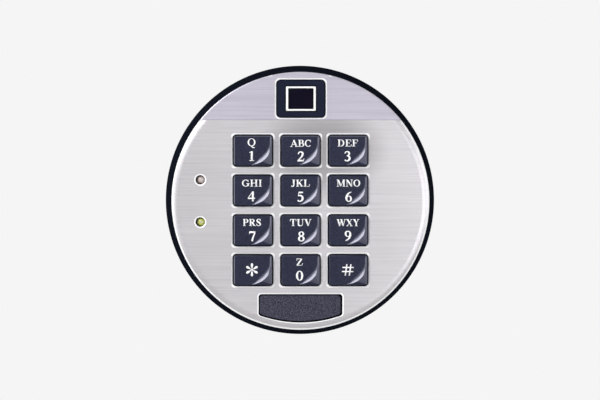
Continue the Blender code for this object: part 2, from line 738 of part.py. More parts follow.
def housing_posts():
    """Posts for the board and the rear cover. Ribs tie the cover's posts to the tapered wall."""
    board_posts = spread(
        "board_posts",
        rod(
            "board_post",
            BOARD_POST_RADIUS,
            board_front + SEAT_GAP,
            deck_back + DECK_THICKNESS / 2,
            sides=SMALL_ROUND,
        ),
        board_post_places,
    )
    cover_posts = spread(
        "cover_posts",
        rod(
            "cover_post",
            COVER_POST_RADIUS,
            post_back,
            deck_back + DECK_THICKNESS / 2,
            sides=SMALL_ROUND,
        ),
        cover_post_places,
    )
    rib_shape = bmesh.new()
    rib_length = BASE_RADIUS - cover_post_circle
    for x, y in cover_post_places:
        made_before = set(rib_shape.verts)
        bmesh.ops.create_cube(rib_shape, size=1)
        rib = [vert for vert in rib_shape.verts if vert not in made_before]
        rib_back = post_back + OVERRUN
        bmesh.ops.scale(rib_shape, vec=(rib_length, COVER_RIB_WIDTH, deck_back - rib_back), verts=rib)
        bmesh.ops.translate(
            rib_shape, vec=(cover_post_circle + rib_length / 2, 0, (deck_back + rib_back) / 2), verts=rib
        )
        turn = math.atan2(y, x)
        for vert in rib:
            across, along = vert.co.x, vert.co.y
            vert.co.x = across * math.cos(turn) - along * math.sin(turn)
            vert.co.y = across * math.sin(turn) + along * math.cos(turn)
    ribs = add_object("post_ribs", finish_mesh("post_ribs", rib_shape))
    trim_to(ribs, tapered_core("rib_limit", WALL / 2, RIM_LIFT, deck_front - LIP_ROUND))
    return board_posts, cover_posts, ribs


def tapered_core(name, inset, back, front):
    """A solid inside the housing's taper, at an inset from its outside."""
    return rod(
        name,
        wall_radius(back, inset),
        back,
        front,
        sides=LARGE_ROUND,
        front_radius=wall_radius(front, inset),
    )


def build_housing():
    """The tapered black cup that carries everything, open at the back and at the drawer."""
    lip = arc((front_radius - LIP_ROUND, deck_front - LIP_ROUND), LIP_ROUND, math.pi / 2, 0.0, LIP_STEPS)
    outside = [(0.0, deck_front), *lip, (BASE_RADIUS, RIM_LIFT)]
    inside = [
        (BASE_RADIUS - WALL, RIM_LIFT),
        (wall_radius(deck_back, WALL), deck_back),
        (0.0, deck_back),
    ]
    housing = turned("housing", outside + inside, material=black_housing)
    join(housing, *housing_posts())
    drawer_opening = block(
        "drawer_opening",
        (2 * (fascia_half_width + SEAT_GAP), BASE_RADIUS - board_post_x),
        cover_front,
        fascia_front + SEAT_GAP,
        (0.0, -(BASE_RADIUS + board_post_x) / 2 - OVERRUN),
    )
    sensor_opening = block(
        "deck_sensor_opening",
        (BEZEL_WIDTH - 2 * BEZEL_STEP + 2 * SEAT_GAP, BEZEL_HEIGHT - 2 * BEZEL_STEP + 2 * SEAT_GAP),
        deck_back - OVERRUN,
        deck_front + OVERRUN,
        (0.0, SENSOR_Y),
    )
    stud_holes = spread(
        "stud_holes",
        rod(
            "stud_hole",
            STUD_RADIUS + SEAT_GAP,
            deck_back - OVERRUN,
            deck_front + OVERRUN,
            sides=SMALL_ROUND,
        ),
        face_stud_places + sensor_stud_places,
    )
    board_pilots = spread(
        "board_pilots",
        rod(
            "board_pilot",
            BOARD_SCREW_RADIUS + THREAD_GAP,
            board_front - OVERRUN,
            solder_side + BOARD_SCREW_LENGTH + SEAT_GAP,
            sides=SMALL_ROUND,
        ),
        board_post_places,
    )
    cover_pilots = spread(
        "cover_pilots",
        rod(
            "cover_pilot",
            COVER_SCREW_RADIUS + THREAD_GAP,
            cover_front - OVERRUN,
            plate_front + COVER_SCREW_LENGTH + SEAT_GAP,
            sides=SMALL_ROUND,
        ),
        cover_post_places,
    )
    cut(housing, drawer_opening, sensor_opening, key_openings, led_openings, stud_holes)
    cut(housing, board_pilots, cover_pilots)


def half_space(name, low, high):
    """A block that clears a whole plate between two heights across the face."""
    wide = 2 * (FACE_RADIUS + OVERRUN)
    reach = FACE_RADIUS * math.tan(SLOPE_ANGLE)
    return block(
        name,
        (wide, high - low),
        face_back - OVERRUN,
        face_front + 2 * (OVERRUN + reach),
        (0.0, (low + high) / 2),
    )


def plate_studs(name, places):
    return spread(
        name,
        rod(name + "_one", STUD_RADIUS, face_back - STUD_LENGTH, face_back + OVERRUN, sides=SMALL_ROUND),
        places,
    )


def inlay_outline(play):
    """The inlay's outline: a straight top, short sides and a foot that follows the plate's rim."""
    side = INLAY_HALF_WIDTH + play
    top = INLAY_TOP + play
    foot_radius = INLAY_ARC_RADIUS + play
    corner_x = side - INLAY_CORNER
    corner_y = -math.sqrt((foot_radius - INLAY_CORNER) ** 2 - corner_x**2)
    tangent = math.atan2(corner_y, corner_x)
    quarter = math.pi / 2
    half = math.pi
    top_y = top - INLAY_CORNER
    return [
        *arc((corner_x, top_y), INLAY_CORNER, quarter, 0.0, CORNER_STEPS),
        *arc((corner_x, corner_y), INLAY_CORNER, 0.0, tangent, CORNER_STEPS),
        *arc((0.0, 0.0), foot_radius, tangent, -half - tangent, ARC_STEPS)[1:-1],
        *arc((-corner_x, corner_y), INLAY_CORNER, -half - tangent, -half, CORNER_STEPS),
        *arc((-corner_x, top_y), INLAY_CORNER, half, quarter, CORNER_STEPS),
    ]


def build_face_plate():
    """The brushed lower plate with its rounded rim, the key openings and the inlay's recess."""
    rim = arc((0.0, 0.0), 1.0, math.pi / 2, 0.0, RIM_STEPS)
    rounded = [
        (FACE_RADIUS - RIM_WIDTH * (1 - across), face_front - RIM_DROP * (1 - up)) for across, up in rim
    ]
    profile = [(0.0, face_front), *rounded, (FACE_RADIUS, face_back), (0.0, face_back)]
    plate = turned("face_plate", profile, material=brushed_face)
    join(plate, plate_studs("face_studs", face_stud_places))
    above_seam = half_space("above_seam", SEAM_HEIGHT - SEAT_GAP / 2, FACE_RADIUS + OVERRUN)
    key_funnels = spread(
        "key_funnels",
        block(
            "key_funnel",
            (KEY_WIDTH + 2 * KEY_GAP, KEY_HEIGHT + 2 * KEY_GAP),
            face_front - OPENING_CHAMFER,
            face_front + OVERRUN,
            corner=KEY_CORNER + KEY_GAP,
            flare=OPENING_CHAMFER + OVERRUN,
        ),
        key_places,
    )
    led_funnels = spread(
        "led_funnels",
        rod(
            "led_funnel",
            LED_HOLE_RADIUS,
            face_front - OPENING_CHAMFER,
            face_front + OVERRUN,
            front_radius=LED_HOLE_RADIUS + OPENING_CHAMFER + OVERRUN,
        ),
        led_places.values(),
    )
    recess_floor = face_front - INLAY_THICKNESS - SEAT_GAP
    recess = flat_shape("inlay_recess", inlay_outline(INLAY_PLAY), recess_floor, face_front + OVERRUN)
    cut(plate, above_seam, key_openings, key_funnels, led_openings, led_funnels, recess)


def build_inlay():
    """The bare dark inlay that fills the recess at the foot of the face."""
    inlay = flat_shape(
        "label_inlay",
        inlay_outline(0.0),
        face_front - INLAY_THICKNESS,
        face_front + INLAY_PROUD,
        material=inlay_grain,
    )
    inlay.location.x = -INLAY_SHIFT


def build_sensor_plate():
    """The upper plate, a wedge whose front falls back from the seam to the top of the rim."""
    plate = rod(
        "sensor_plate", FACE_RADIUS, face_back, slope_front, sides=LARGE_ROUND, material=brushed_face
    )
    lean_front(plate)
    below_seam = half_space("below_seam", -FACE_RADIUS - OVERRUN, SEAM_HEIGHT + SEAT_GAP / 2)
    opening_size = (BEZEL_WIDTH + 2 * SEAT_GAP, BEZEL_HEIGHT + 2 * SEAT_GAP)
    sensor_opening = block(
        "sensor_opening",
        opening_size,
        face_back - OVERRUN,
        slope_front + OVERRUN,
        (0.0, SENSOR_Y),
        corner=BEZEL_CORNER + SEAT_GAP,
    )
    funnel = block(
        "sensor_funnel",
        opening_size,
        slope_front - OPENING_CHAMFER,
        slope_front + OVERRUN,
        (0.0, SENSOR_Y),
        corner=BEZEL_CORNER + SEAT_GAP,
        flare=OPENING_CHAMFER + OVERRUN,
    )
    lean_front(funnel)
    join(plate, plate_studs("sensor_studs", sensor_stud_places))
    cut(plate, below_seam, sensor_opening, funnel)


def sloped_block(name, size, back, proud, corner=0.0, material=None):
    """A block at the sensor whose front stands a little proud of the sloping plate."""
    made = block(name, size, back, slope_front + proud, (0.0, SENSOR_Y), corner=corner, material=material)
    lean_front(made)
    return made


def build_sensor():
    """The fingerprint sensor: bezel, pale frame and window, all seated on its own small board."""
    bezel = sloped_block(
        "sensor_bezel", (BEZEL_WIDTH, BEZEL_HEIGHT), face_back, BEZEL_PROUD, BEZEL_CORNER, sensor_black
    )
    tail = block(
        "bezel_tail",
        (BEZEL_WIDTH - 2 * BEZEL_STEP, BEZEL_HEIGHT - 2 * BEZEL_STEP),
        deck_back,
        face_back + OVERRUN,
        (0.0, SENSOR_Y),
    )
    frame_seat = block(
        "frame_seat",
        (FRAME_WIDTH + 2 * FIT_GAP, FRAME_HEIGHT + 2 * FIT_GAP),
        deck_back - OVERRUN,
        slope_front + OVERRUN,
        (0.0, SENSOR_Y),
        corner=FRAME_CORNER + FIT_GAP,
    )
    join(bezel, tail)
    cut(bezel, frame_seat)
    frame = sloped_block(
        "sensor_frame", (FRAME_WIDTH, FRAME_HEIGHT), deck_back, FRAME_PROUD, FRAME_CORNER, frame_white
    )
    hole_size = (FRAME_WIDTH - 2 * FRAME_WALL, FRAME_HEIGHT - 2 * FRAME_WALL)
    frame_hole = block(
        "frame_hole", hole_size, deck_back - OVERRUN, slope_front + OVERRUN, (0.0, SENSOR_Y)
    )
    cut(frame, frame_hole)
    window_size = (hole_size[0] - 2 * FIT_GAP, hole_size[1] - 2 * FIT_GAP)
    sloped_block("sensor_window", window_size, deck_back, WINDOW_PROUD, material=sensor_glass)
    board_front_level = deck_back - SEAT_GAP
    board_back_level = board_front_level - SENSOR_BOARD_THICKNESS
    block(
        "sensor_board",
        (SENSOR_BOARD_WIDTH, SENSOR_BOARD_HEIGHT),
        board_back_level,
        board_front_level,
        (0.0, SENSOR_Y),
        material=board_green,
    )
    build_ribbon(board_back_level - SEAT_GAP - RIBBON_THICKNESS / 2)


def build_ribbon(start_level):
    """The flat cable from the sensor board, over the main board's edge, to the connector."""
    end_level = solder_side - CONNECTOR_DEPTH / 2
    fall_y = board_top + BOARD_TOP_GAP / 2
    start_y = SENSOR_Y - SENSOR_BOARD_HEIGHT / 2 + RIBBON_OVERLAP
    end_y = board_top - CONNECTOR_INSET + SEAT_GAP
    quarter = math.pi / 2
    route = [
        (start_y, start_level),
        *arc((fall_y + RIBBON_BEND, start_level - RIBBON_BEND), RIBBON_BEND, quarter, math.pi, RIBBON_STEPS),
        *arc((fall_y - RIBBON_BEND, end_level + RIBBON_BEND), RIBBON_BEND, 0.0, -quarter, RIBBON_STEPS),
        (end_y, end_level),
    ]
    strip = bmesh.new()
    line = [strip.verts.new((-RIBBON_WIDTH / 2, y, level)) for y, level in route]
    edges = [strip.edges.new((line[i], line[i + 1])) for i in range(len(line) - 1)]
    sheet = bmesh.ops.extrude_edge_only(strip, edges=edges)
    far_side = [piece for piece in sheet["geom"] if isinstance(piece, bmesh.types.BMVert)]
    bmesh.ops.translate(strip, vec=(RIBBON_WIDTH, 0, 0), verts=far_side)
    ribbon = add_object("sensor_ribbon", finish_mesh("sensor_ribbon", strip), ribbon_film)
    film = ribbon.modifiers.new("film", "SOLIDIFY")
    film.thickness = RIBBON_THICKNESS
    film.offset = 0.0
    block(
        "ribbon_connector",
        (CONNECTOR_WIDTH, CONNECTOR_HEIGHT),
        solder_side - CONNECTOR_DEPTH,
        solder_side,
        (0.0, board_top - CONNECTOR_INSET - CONNECTOR_HEIGHT / 2),
        material=component_black,
    )


def shave(shape, point, normal):
    """Cuts a convex shape along a plane, drops what lies beyond it, and closes the cut."""
    whole = shape.verts[:] + shape.edges[:] + shape.faces[:]
    cut_made = bmesh.ops.bisect_plane(
        shape, geom=whole, plane_co=point, plane_no=normal, clear_outer=True, dist=MERGE_DISTANCE / 10
    )
    rim = [piece for piece in cut_made["geom_cut"] if isinstance(piece, bmesh.types.BMEdge)]
    bmesh.ops.holes_fill(shape, edges=rim, sides=0)
    bmesh.ops.recalc_face_normals(shape, faces=shape.faces)


def scoop_outline():
    """The floor of the scoop in a key's top: square but for one large round corner."""
    left = -KEY_WIDTH / 2 - OVERRUN
    right = KEY_WIDTH / 2 - SCOOP_MARGIN_X
    top = KEY_HEIGHT / 2 + OVERRUN
    bottom = -KEY_HEIGHT / 2 + SCOOP_MARGIN_Y
    centre = (right - SCOOP_CORNER, bottom + SCOOP_CORNER)
    corner = arc(centre, SCOOP_CORNER, -math.pi / 2, 0.0, SCOOP_STEPS)
    return [(left, bottom), *corner, (right, top), (left, top)]


def build_keys():
    """Twelve moulded caps. The scooped top leaves one corner standing as two falling facets."""
    half_x = KEY_WIDTH / 2
    half_y = KEY_HEIGHT / 2
    edge_level = key_floor - KEY_EDGE_DROP
    chamfer_level = key_floor - KEY_CHAMFER
    blank = box_shape((KEY_WIDTH, KEY_HEIGHT), flange_back, key_floor + KEY_BLANK_RISE, KEY_CORNER)
    shave(blank, (half_x, 0, edge_level), (RIGHT_FACET_SLOPE_SHARE, 0, 1))
    shave(blank, (0, -half_y, edge_level), (0, -BOTTOM_FACET_SLOPE_SHARE, 1))
    shave(blank, (-half_x, 0, chamfer_level), (-1, 0, 1))
    shave(blank, (0, half_y, chamfer_level), (0, 1, 1))
    cap = add_object("key_blank", finish_mesh("key_blank", blank))
    flange = block(
        "key_flange",
        (KEY_WIDTH + 2 * FLANGE_WIDTH, KEY_HEIGHT + 2 * FLANGE_WIDTH),
        flange_back,
        flange_front,
    )
    roof_back = key_floor - KEY_ROOF
    hollow = block(
        "key_hollow",
        (KEY_WIDTH - 2 * KEY_WALL, KEY_HEIGHT - 2 * KEY_WALL),
        flange_back - OVERRUN,
        roof_back,
    )
    plunger = rod("key_plunger", PLUNGER_RADIUS, flange_back, roof_back + KEY_ROOF / 2, sides=SMALL_ROUND)
    scoop = flat_shape("key_scoop", scoop_outline(), key_floor, key_floor + SCOOP_HEIGHT, SCOOP_FILLET)
    join(cap, flange)
    cut(cap, hollow)
    join(cap, plunger)
    cut(cap, scoop)
    mesh = finished_mesh(cap, (flange, hollow, plunger, scoop))
    names = [name for row in KEY_NAMES for name in row]
    for name, place in zip(names, key_places):
        add_object(name, mesh, key_plastic, place)


def build_keypad_mat():
    """The moulded rubber mat, with a hollow dome under each key that pushes it back up."""
    mat = block(
        "keypad_mat",
        (2 * mat_half_width, 2 * mat_half_height),
        mat_back,
        mat_front,
        (0.0, KEY_FIELD_Y),
        MAT_CORNER,
        material=mat_rubber,
    )
    trim = rod(
        "mat_trim",
        board_radius - MAT_INSET,
        mat_back - OVERRUN,
        mat_front + OVERRUN,
        sides=LARGE_ROUND,
    )
    domes = spread(
        "domes",
        rod(
            "dome",
            DOME_BASE_RADIUS,
            mat_front - MAT_THICKNESS / 2,
            dome_front,
            sides=SMALL_ROUND,
            front_radius=DOME_TOP_RADIUS,
        ),
        key_places,
    )
    hollows = spread(
        "dome_hollows",
        rod(
            "dome_hollow",
            DOME_BASE_RADIUS - DOME_CAVITY_INSET,
            mat_back - OVERRUN,
            dome_front - DOME_WALL,
            sides=SMALL_ROUND,
            front_radius=DOME_TOP_RADIUS - DOME_CAVITY_INSET,
        ),
        key_places,
    )
    trim_to(mat, trim)
    join(mat, domes)
    cut(mat, hollows)


def build_circuit_board():
    """The round board behind the mat, cut straight where the sensor's ribbon passes."""
    board = rod(
        "circuit_board", board_radius, board_back, board_front, sides=LARGE_ROUND, material=board_green
    )
    top_cut = block(
        "board_top_cut",
        (2 * board_radius, board_radius),
        board_back - OVERRUN,
        board_front + OVERRUN,
        (0.0, board_top + board_radius / 2),
    )
    screw_holes = spread(
        "board_screw_holes",
        rod(
            "board_screw_hole",
            BOARD_SCREW_RADIUS + THREAD_GAP,
            board_back - OVERRUN,
            board_front + OVERRUN,
            sides=SMALL_ROUND,
        ),
        board_post_places,
    )
    leg_places = [
        (x + LED_SHIFT + side, y)
        for x, y in led_places.values()
        for side in (-LEG_HALF_PITCH, LEG_HALF_PITCH)
    ]
    leg_holes = spread(
        "leg_holes",
        rod("leg_hole", LEG_HOLE_RADIUS, board_back - OVERRUN, board_front + OVERRUN, sides=SMALL_ROUND),
        leg_places,
    )
    cut(board, top_cut, screw_holes, leg_holes)


def build_led(name, place, lens):
    """A round lamp on two wire legs, looking out through the plate."""
    front = face_front - LED_SINK
    base = front - LED_LENGTH
    dome = arc((0.0, front - LED_RADIUS), LED_RADIUS, math.pi / 2, 0.0, DOME_RINGS)
    profile = [
        (0.0, front),
        *dome[1:],
        (LED_RADIUS, base + LED_FLANGE),
        (LED_FLANGE_RADIUS, base + LED_FLANGE),
        (LED_FLANGE_RADIUS, base),
        (0.0, base),
    ]
    centre = (place[0] + LED_SHIFT, place[1])
    lamp = turned(name, profile, ROUND, centre, material=lens)
    legs = spread(
        name + "_legs",
        block(name + "_leg", (LEG_WIDTH, LEG_WIDTH), board_back - LEG_TAIL, base + LED_FLANGE / 2),
        [(centre[0] - LEG_HALF_PITCH, centre[1]), (centre[0] + LEG_HALF_PITCH, centre[1])],
    )
    join(lamp, legs)


def build_solder_side():
    """The cable socket, buzzer, processor and capacitor on the back of the board."""
    socket = block(
        "cable_socket",
        (SOCKET_WIDTH, SOCKET_HEIGHT),
        solder_side - SOCKET_DEPTH,
        solder_side,
        material=component_black,
    )
    mouth = solder_side - SOCKET_DEPTH
    plug_space = block("plug_space", (PLUG_WIDTH, PLUG_HEIGHT), mouth - OVERRUN, mouth + PLUG_DEPTH)
    latch_space = block(
        "latch_space",
        (LATCH_WIDTH, LATCH_HEIGHT + OVERRUN),
        mouth - OVERRUN,
        mouth + PLUG_DEPTH,
        (0.0, PLUG_HEIGHT / 2 + (LATCH_HEIGHT - OVERRUN) / 2),
    )
    cut(socket, plug_space, latch_space)
    buzzer = rod(
        "buzzer",
        BUZZER_RADIUS,
        solder_side - BUZZER_HEIGHT,
        solder_side,
        (BUZZER_X, BUZZER_Y),
        material=component_black,
    )
    port = rod(
        "buzzer_port",
        BUZZER_PORT_RADIUS,
        solder_side - BUZZER_HEIGHT - OVERRUN,
        solder_side - BUZZER_HEIGHT / 2,
        (BUZZER_X, BUZZER_Y),
        SMALL_ROUND,
    )
    cut(buzzer, port)
    block(
        "processor_chip",
        (CHIP_WIDTH, CHIP_WIDTH),
        solder_side - CHIP_THICKNESS,
        solder_side,
        (CHIP_X, CHIP_Y),
        material=component_black,
    )
    crimp = solder_side - CAPACITOR_BASE
    bottom = solder_side - CAPACITOR_HEIGHT
    can = [
        (0.0, solder_side),
        (CAPACITOR_RADIUS, solder_side),
        (CAPACITOR_RADIUS, crimp + CAPACITOR_NECK),
        (CAPACITOR_RADIUS - CAPACITOR_NECK, crimp),
        (CAPACITOR_RADIUS, crimp - CAPACITOR_NECK),
        (CAPACITOR_RADIUS, bottom + CAPACITOR_NECK),
        (CAPACITOR_RADIUS - CAPACITOR_NECK, bottom),
        (0.0, bottom),
    ]
    turned("capacitor", can, ROUND, (CAPACITOR_X, CAPACITOR_Y), material=capacitor_sleeve)


def build_battery():
    """A block battery lying across the drawer, with both terminals at its right end."""
    body_place = (-TERMINAL_LENGTH / 2, battery_y)
    battery = block(
        "battery",
        (BATTERY_LENGTH, BATTERY_HEIGHT),
        battery_back,
        battery_front,
        body_place,
        BATTERY_CORNER,
        material=battery_case,
    )
    terminals = bmesh.new()
    middle = (battery_back + battery_front) / 2
    for radius, side in ((TERMINAL_RADIUS_PLUS, 1), (TERMINAL_RADIUS_MINUS, -1)):
        made_before = set(terminals.verts)
        bmesh.ops.create_cone(
            terminals,
            cap_ends=True,
            segments=ROUND,
            radius1=radius,
            radius2=radius,
            depth=TERMINAL_LENGTH + OVERRUN,
        )
        stub = [vert for vert in terminals.verts if vert not in made_before]
        for vert in stub:
            vert.co.x, vert.co.z = vert.co.z, -vert.co.x
        place = (battery_end - (TERMINAL_LENGTH + OVERRUN) / 2, battery_y + side * TERMINAL_HALF_PITCH, middle)
        bmesh.ops.translate(terminals, vec=place, verts=stub)
    join(battery, add_object("terminals", finish_mesh("terminals", terminals)))


def build_drawer():
    """The battery drawer: a low tray behind a fascia that completes the housing's wall."""
    wall_front = drawer_floor_front + DRAWER_WALL_HEIGHT
    tray_back_end = BATTERY_TOP + SEAT_GAP + DRAWER_WALL
    drawer = block(
        "battery_drawer",
        (2 * drawer_half_width, BASE_RADIUS + tray_back_end),
        drawer_back,
        wall_front,
        (0.0, (tray_back_end - BASE_RADIUS) / 2),
        material=black_housing,
    )
    bay_high = BATTERY_TOP + SEAT_GAP
    bay_low = BATTERY_TOP - BATTERY_HEIGHT - SEAT_GAP
    battery_bay = block(
        "battery_bay",
        (2 * bay_half_width, bay_high - bay_low),
        drawer_floor_front,
        wall_front + OVERRUN,
        (0.0, (bay_high + bay_low) / 2),
    )
    stop_low = bay_low - DRAWER_WALL
    front_bay = block(
        "front_bay",
        (2 * bay_half_width, BASE_RADIUS + stop_low + OVERRUN),
        drawer_floor_front,
        wall_front + OVERRUN,
        (0.0, (stop_low - BASE_RADIUS - OVERRUN) / 2),
    )
    trim_to(drawer, tapered_core("tray_limit", WALL / 2, cover_back, wall_front + OVERRUN))
    cut(drawer, battery_bay, front_bay)
    ring = [
        (wall_radius(fascia_front), fascia_front),
        (wall_radius(drawer_back), drawer_back),
        (wall_radius(drawer_back, WALL), drawer_back),
        (wall_radius(fascia_front, WALL), fascia_front),
    ]
    fascia = turned("fascia", ring, ring=True)
    fascia_span = block(
        "fascia_span",
        (2 * fascia_half_width, BASE_RADIUS),
        drawer_back - OVERRUN,
        fascia_front + OVERRUN,
        (0.0, -BASE_RADIUS / 2 - OVERRUN),
    )
    trim_to(fascia, fascia_span)
    join(drawer, fascia)
    for groove in range(GRIP_GROOVES):
        level = (drawer_back + fascia_front) / 2 + (groove - (GRIP_GROOVES - 1) / 2) * GRIP_PITCH
        reach = wall_radius(level, GRIP_DEPTH)
        cut(
            drawer,
            block(
                f"grip_groove_{groove}",
                (GRIP_WIDTH, OVERRUN + GRIP_DEPTH),
                level - GRIP_HEIGHT / 2,
                level + GRIP_HEIGHT / 2,
                (0.0, -reach - (OVERRUN + GRIP_DEPTH) / 2),
            ),
        )


def build_contacts():
    """The contact block on the board and the two brass springs that meet the terminals."""
    blade_x = battery_end + SEAT_GAP
    block_x = blade_x + CONTACT_THICKNESS + SEAT_GAP
    block(
        "contact_block",
        (CONTACT_BLOCK_THICKNESS, CONTACT_BLOCK_LENGTH),
        solder_side - CONTACT_BLOCK_DEPTH,
        solder_side,
        (block_x + CONTACT_BLOCK_THICKNESS / 2, battery_y),
        material=component_black,
    )
    middle = (battery_back + battery_front) / 2
    for name, side in (("contact_plus", 1), ("contact_minus", -1)):
        y = battery_y + side * TERMINAL_HALF_PITCH
        contact = block(
            name,
            (CONTACT_THICKNESS, CONTACT_WIDTH),
            middle - CONTACT_REACH,
            solder_side,
            (blade_x + CONTACT_THICKNESS / 2, y),
            material=contact_brass,
        )
        foot = block(
            name + "_foot",
            (CONTACT_FOOT, CONTACT_WIDTH),
            solder_side - CONTACT_THICKNESS,
            solder_side,
            (blade_x + CONTACT_THICKNESS - CONTACT_FOOT / 2, y),
        )
        join(contact, foot)


def screw_mesh(name, seat, length, radius, head_radius, head):
    """A pan-head screw driven forwards: its head lies behind the seat and its tip in front."""
    tip = seat + length
    profile = [
        (0.0, tip),
        (radius / 2, tip),
        (radius, tip - radius / 2),
        (radius, seat),
        (head_radius, seat),
        (head_radius, seat - head + HEAD_ROUND),
        (head_radius - HEAD_ROUND, seat - head),
        (0.0, seat - head),
    ]
    return finished_mesh(turned(name, profile, SMALL_ROUND), ())


def build_screws():
    """Four screws for the board, four for the rear cover, and the one that locks the unit on."""
    board_screw = screw_mesh(
        "board_screw_shape",
        solder_side,
        BOARD_SCREW_LENGTH,
        BOARD_SCREW_RADIUS,
        BOARD_SCREW_HEAD_RADIUS,
        BOARD_SCREW_HEAD,
    )
    for number, place in enumerate(board_post_places, 1):
        add_object(f"board_screw_{number}", board_screw, zinc_steel, place)
    cover_screw = screw_mesh(
        "cover_screw_shape",
        plate_front,
        COVER_SCREW_LENGTH,
        COVER_SCREW_RADIUS,
        COVER_SCREW_HEAD_RADIUS,
        COVER_SCREW_HEAD,
    )
    for number, place in enumerate(cover_post_places, 1):
        add_object(f"cover_screw_{number}", cover_screw, zinc_steel, place)
    head_front = cover_front - LOCK_SCREW_SINK
    tip = head_front - LOCK_SCREW_LENGTH
    countersunk = [
        (0.0, head_front),
        (LOCK_SCREW_HEAD_RADIUS, head_front),
        (LOCK_SCREW_RADIUS, head_front - (LOCK_SCREW_HEAD_RADIUS - LOCK_SCREW_RADIUS)),
        (LOCK_SCREW_RADIUS, tip),
        (0.0, tip),
    ]
    turned("lock_screw", countersunk, ROUND, (0.0, LOCK_SCREW_Y), material=zinc_steel)


def build_nuts():
    """A nut behind the deck on each stud of the two face plates."""
    nut = rod("nut_blank", NUT_RADIUS, nut_front - NUT_THICKNESS, nut_front, sides=NUT_SIDES)
    bore = rod(
        "nut_bore",
        STUD_RADIUS + THREAD_GAP,
        nut_front - NUT_THICKNESS - OVERRUN,
        nut_front + OVERRUN,
        sides=SMALL_ROUND,
    )
    cut(nut, bore)
    mesh = finished_mesh(nut, (bore,))
    for number, place in enumerate(face_stud_places, 1):
        add_object(f"face_nut_{number}", mesh, zinc_steel, place)
    for number, place in enumerate(sensor_stud_places, 1):
        add_object(f"sensor_nut_{number}", mesh, zinc_steel, place)


def finish_parts():
    """Makes each part's cuts and joins final, shades its round faces smooth and clears the tools."""
    for obj in parts.objects:
        if obj.modifiers:
            mesh = evaluated_mesh(obj)
            mesh.materials.clear()
            mesh.materials.append(obj.data.materials[0])
            obj.data = mesh
            obj.modifiers.clear()
        obj.data.shade_smooth()
        obj.data.set_sharp_from_angle(angle=SHARP_ANGLE)
    for tool in list(cutters.objects):
        bpy.data.objects.remove(tool)
    bpy.data.collections.remove(cutters)


def stand_up():
    """Hangs every piece on one empty at the door's surface and turns the face to -Y."""
    door_face = bpy.data.objects.new("door_face", None)
    for obj in parts.objects:
        obj.parent = door_face
    parts.objects.link(door_face)
    door_face.rotation_euler = (math.pi / 2, 0.0, 0.0)


build_mounting_plate()
build_rear_cover()
build_housing()
build_face_plate()
build_inlay()
build_sensor_plate()
build_sensor()
build_keys()
build_keypad_mat()
build_circuit_board()
build_led("upper_led", led_places["upper_led"], clear_lens)
build_led("lower_led", led_places["lower_led"], green_lens)
build_solder_side()
build_battery()
build_drawer()
build_contacts()
build_screws()
build_nuts()
finish_parts()
stand_up()
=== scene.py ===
"""Keypad entry unit of an electronic safe lock, hanging on a door that isn't shown.

Each piece is modelled in millimetres on its back, as it would lie on a bench: X is right, Y is
up the face and Z comes out of it, from 0 at the door. seat() then stands the piece on the door.
"""

import json
import math

import bmesh
import bpy
from mathutils import Matrix, Vector

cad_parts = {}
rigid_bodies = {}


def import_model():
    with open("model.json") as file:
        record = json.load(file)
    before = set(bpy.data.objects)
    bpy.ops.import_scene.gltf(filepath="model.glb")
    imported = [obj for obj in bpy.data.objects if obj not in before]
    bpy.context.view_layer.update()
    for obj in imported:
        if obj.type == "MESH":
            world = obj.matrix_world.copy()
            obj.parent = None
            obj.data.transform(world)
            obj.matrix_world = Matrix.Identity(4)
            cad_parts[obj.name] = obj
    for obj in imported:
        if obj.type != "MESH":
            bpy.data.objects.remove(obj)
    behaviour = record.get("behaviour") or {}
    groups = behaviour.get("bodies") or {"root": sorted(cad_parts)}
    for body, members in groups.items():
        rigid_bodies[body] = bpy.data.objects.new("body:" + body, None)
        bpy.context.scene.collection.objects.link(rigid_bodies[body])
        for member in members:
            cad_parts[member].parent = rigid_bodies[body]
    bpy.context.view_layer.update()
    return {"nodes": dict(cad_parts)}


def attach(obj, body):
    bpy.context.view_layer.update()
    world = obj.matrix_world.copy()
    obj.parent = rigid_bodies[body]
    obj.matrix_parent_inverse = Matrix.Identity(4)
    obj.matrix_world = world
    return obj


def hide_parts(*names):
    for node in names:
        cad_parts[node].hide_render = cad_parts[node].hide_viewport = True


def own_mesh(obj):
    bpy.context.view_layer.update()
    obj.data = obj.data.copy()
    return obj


for startup_object in list(bpy.data.objects):
    bpy.data.objects.remove(startup_object)
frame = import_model()


# Camera. It stands a metre in front of the face with a long lens, a few millimetres left of
# its middle and a centimetre above, so the housing shows a little more at the top left.
camera = bpy.data.objects.new("camera", bpy.data.cameras.new("camera"))
bpy.context.scene.collection.objects.link(camera)
bpy.context.scene.camera = camera
FACE_DISTANCE = 1.0
FACE_LEVEL = 0.036
VIEW_WIDTH = 0.2276
CAMERA_LEFT = 0.0063
CAMERA_UP = 0.0106
AIM_LEFT = 0.0002
AIM_UP = 0.00034
camera.location = (-CAMERA_LEFT, -FACE_DISTANCE - FACE_LEVEL, CAMERA_UP)
aim = Vector((-AIM_LEFT, -FACE_LEVEL, AIM_UP))
camera.rotation_euler = (aim - camera.location).to_track_quat("-Z", "Y").to_euler()
camera.data.sensor_width = 36.0
camera.data.lens = camera.data.sensor_width * FACE_DISTANCE / VIEW_WIDTH


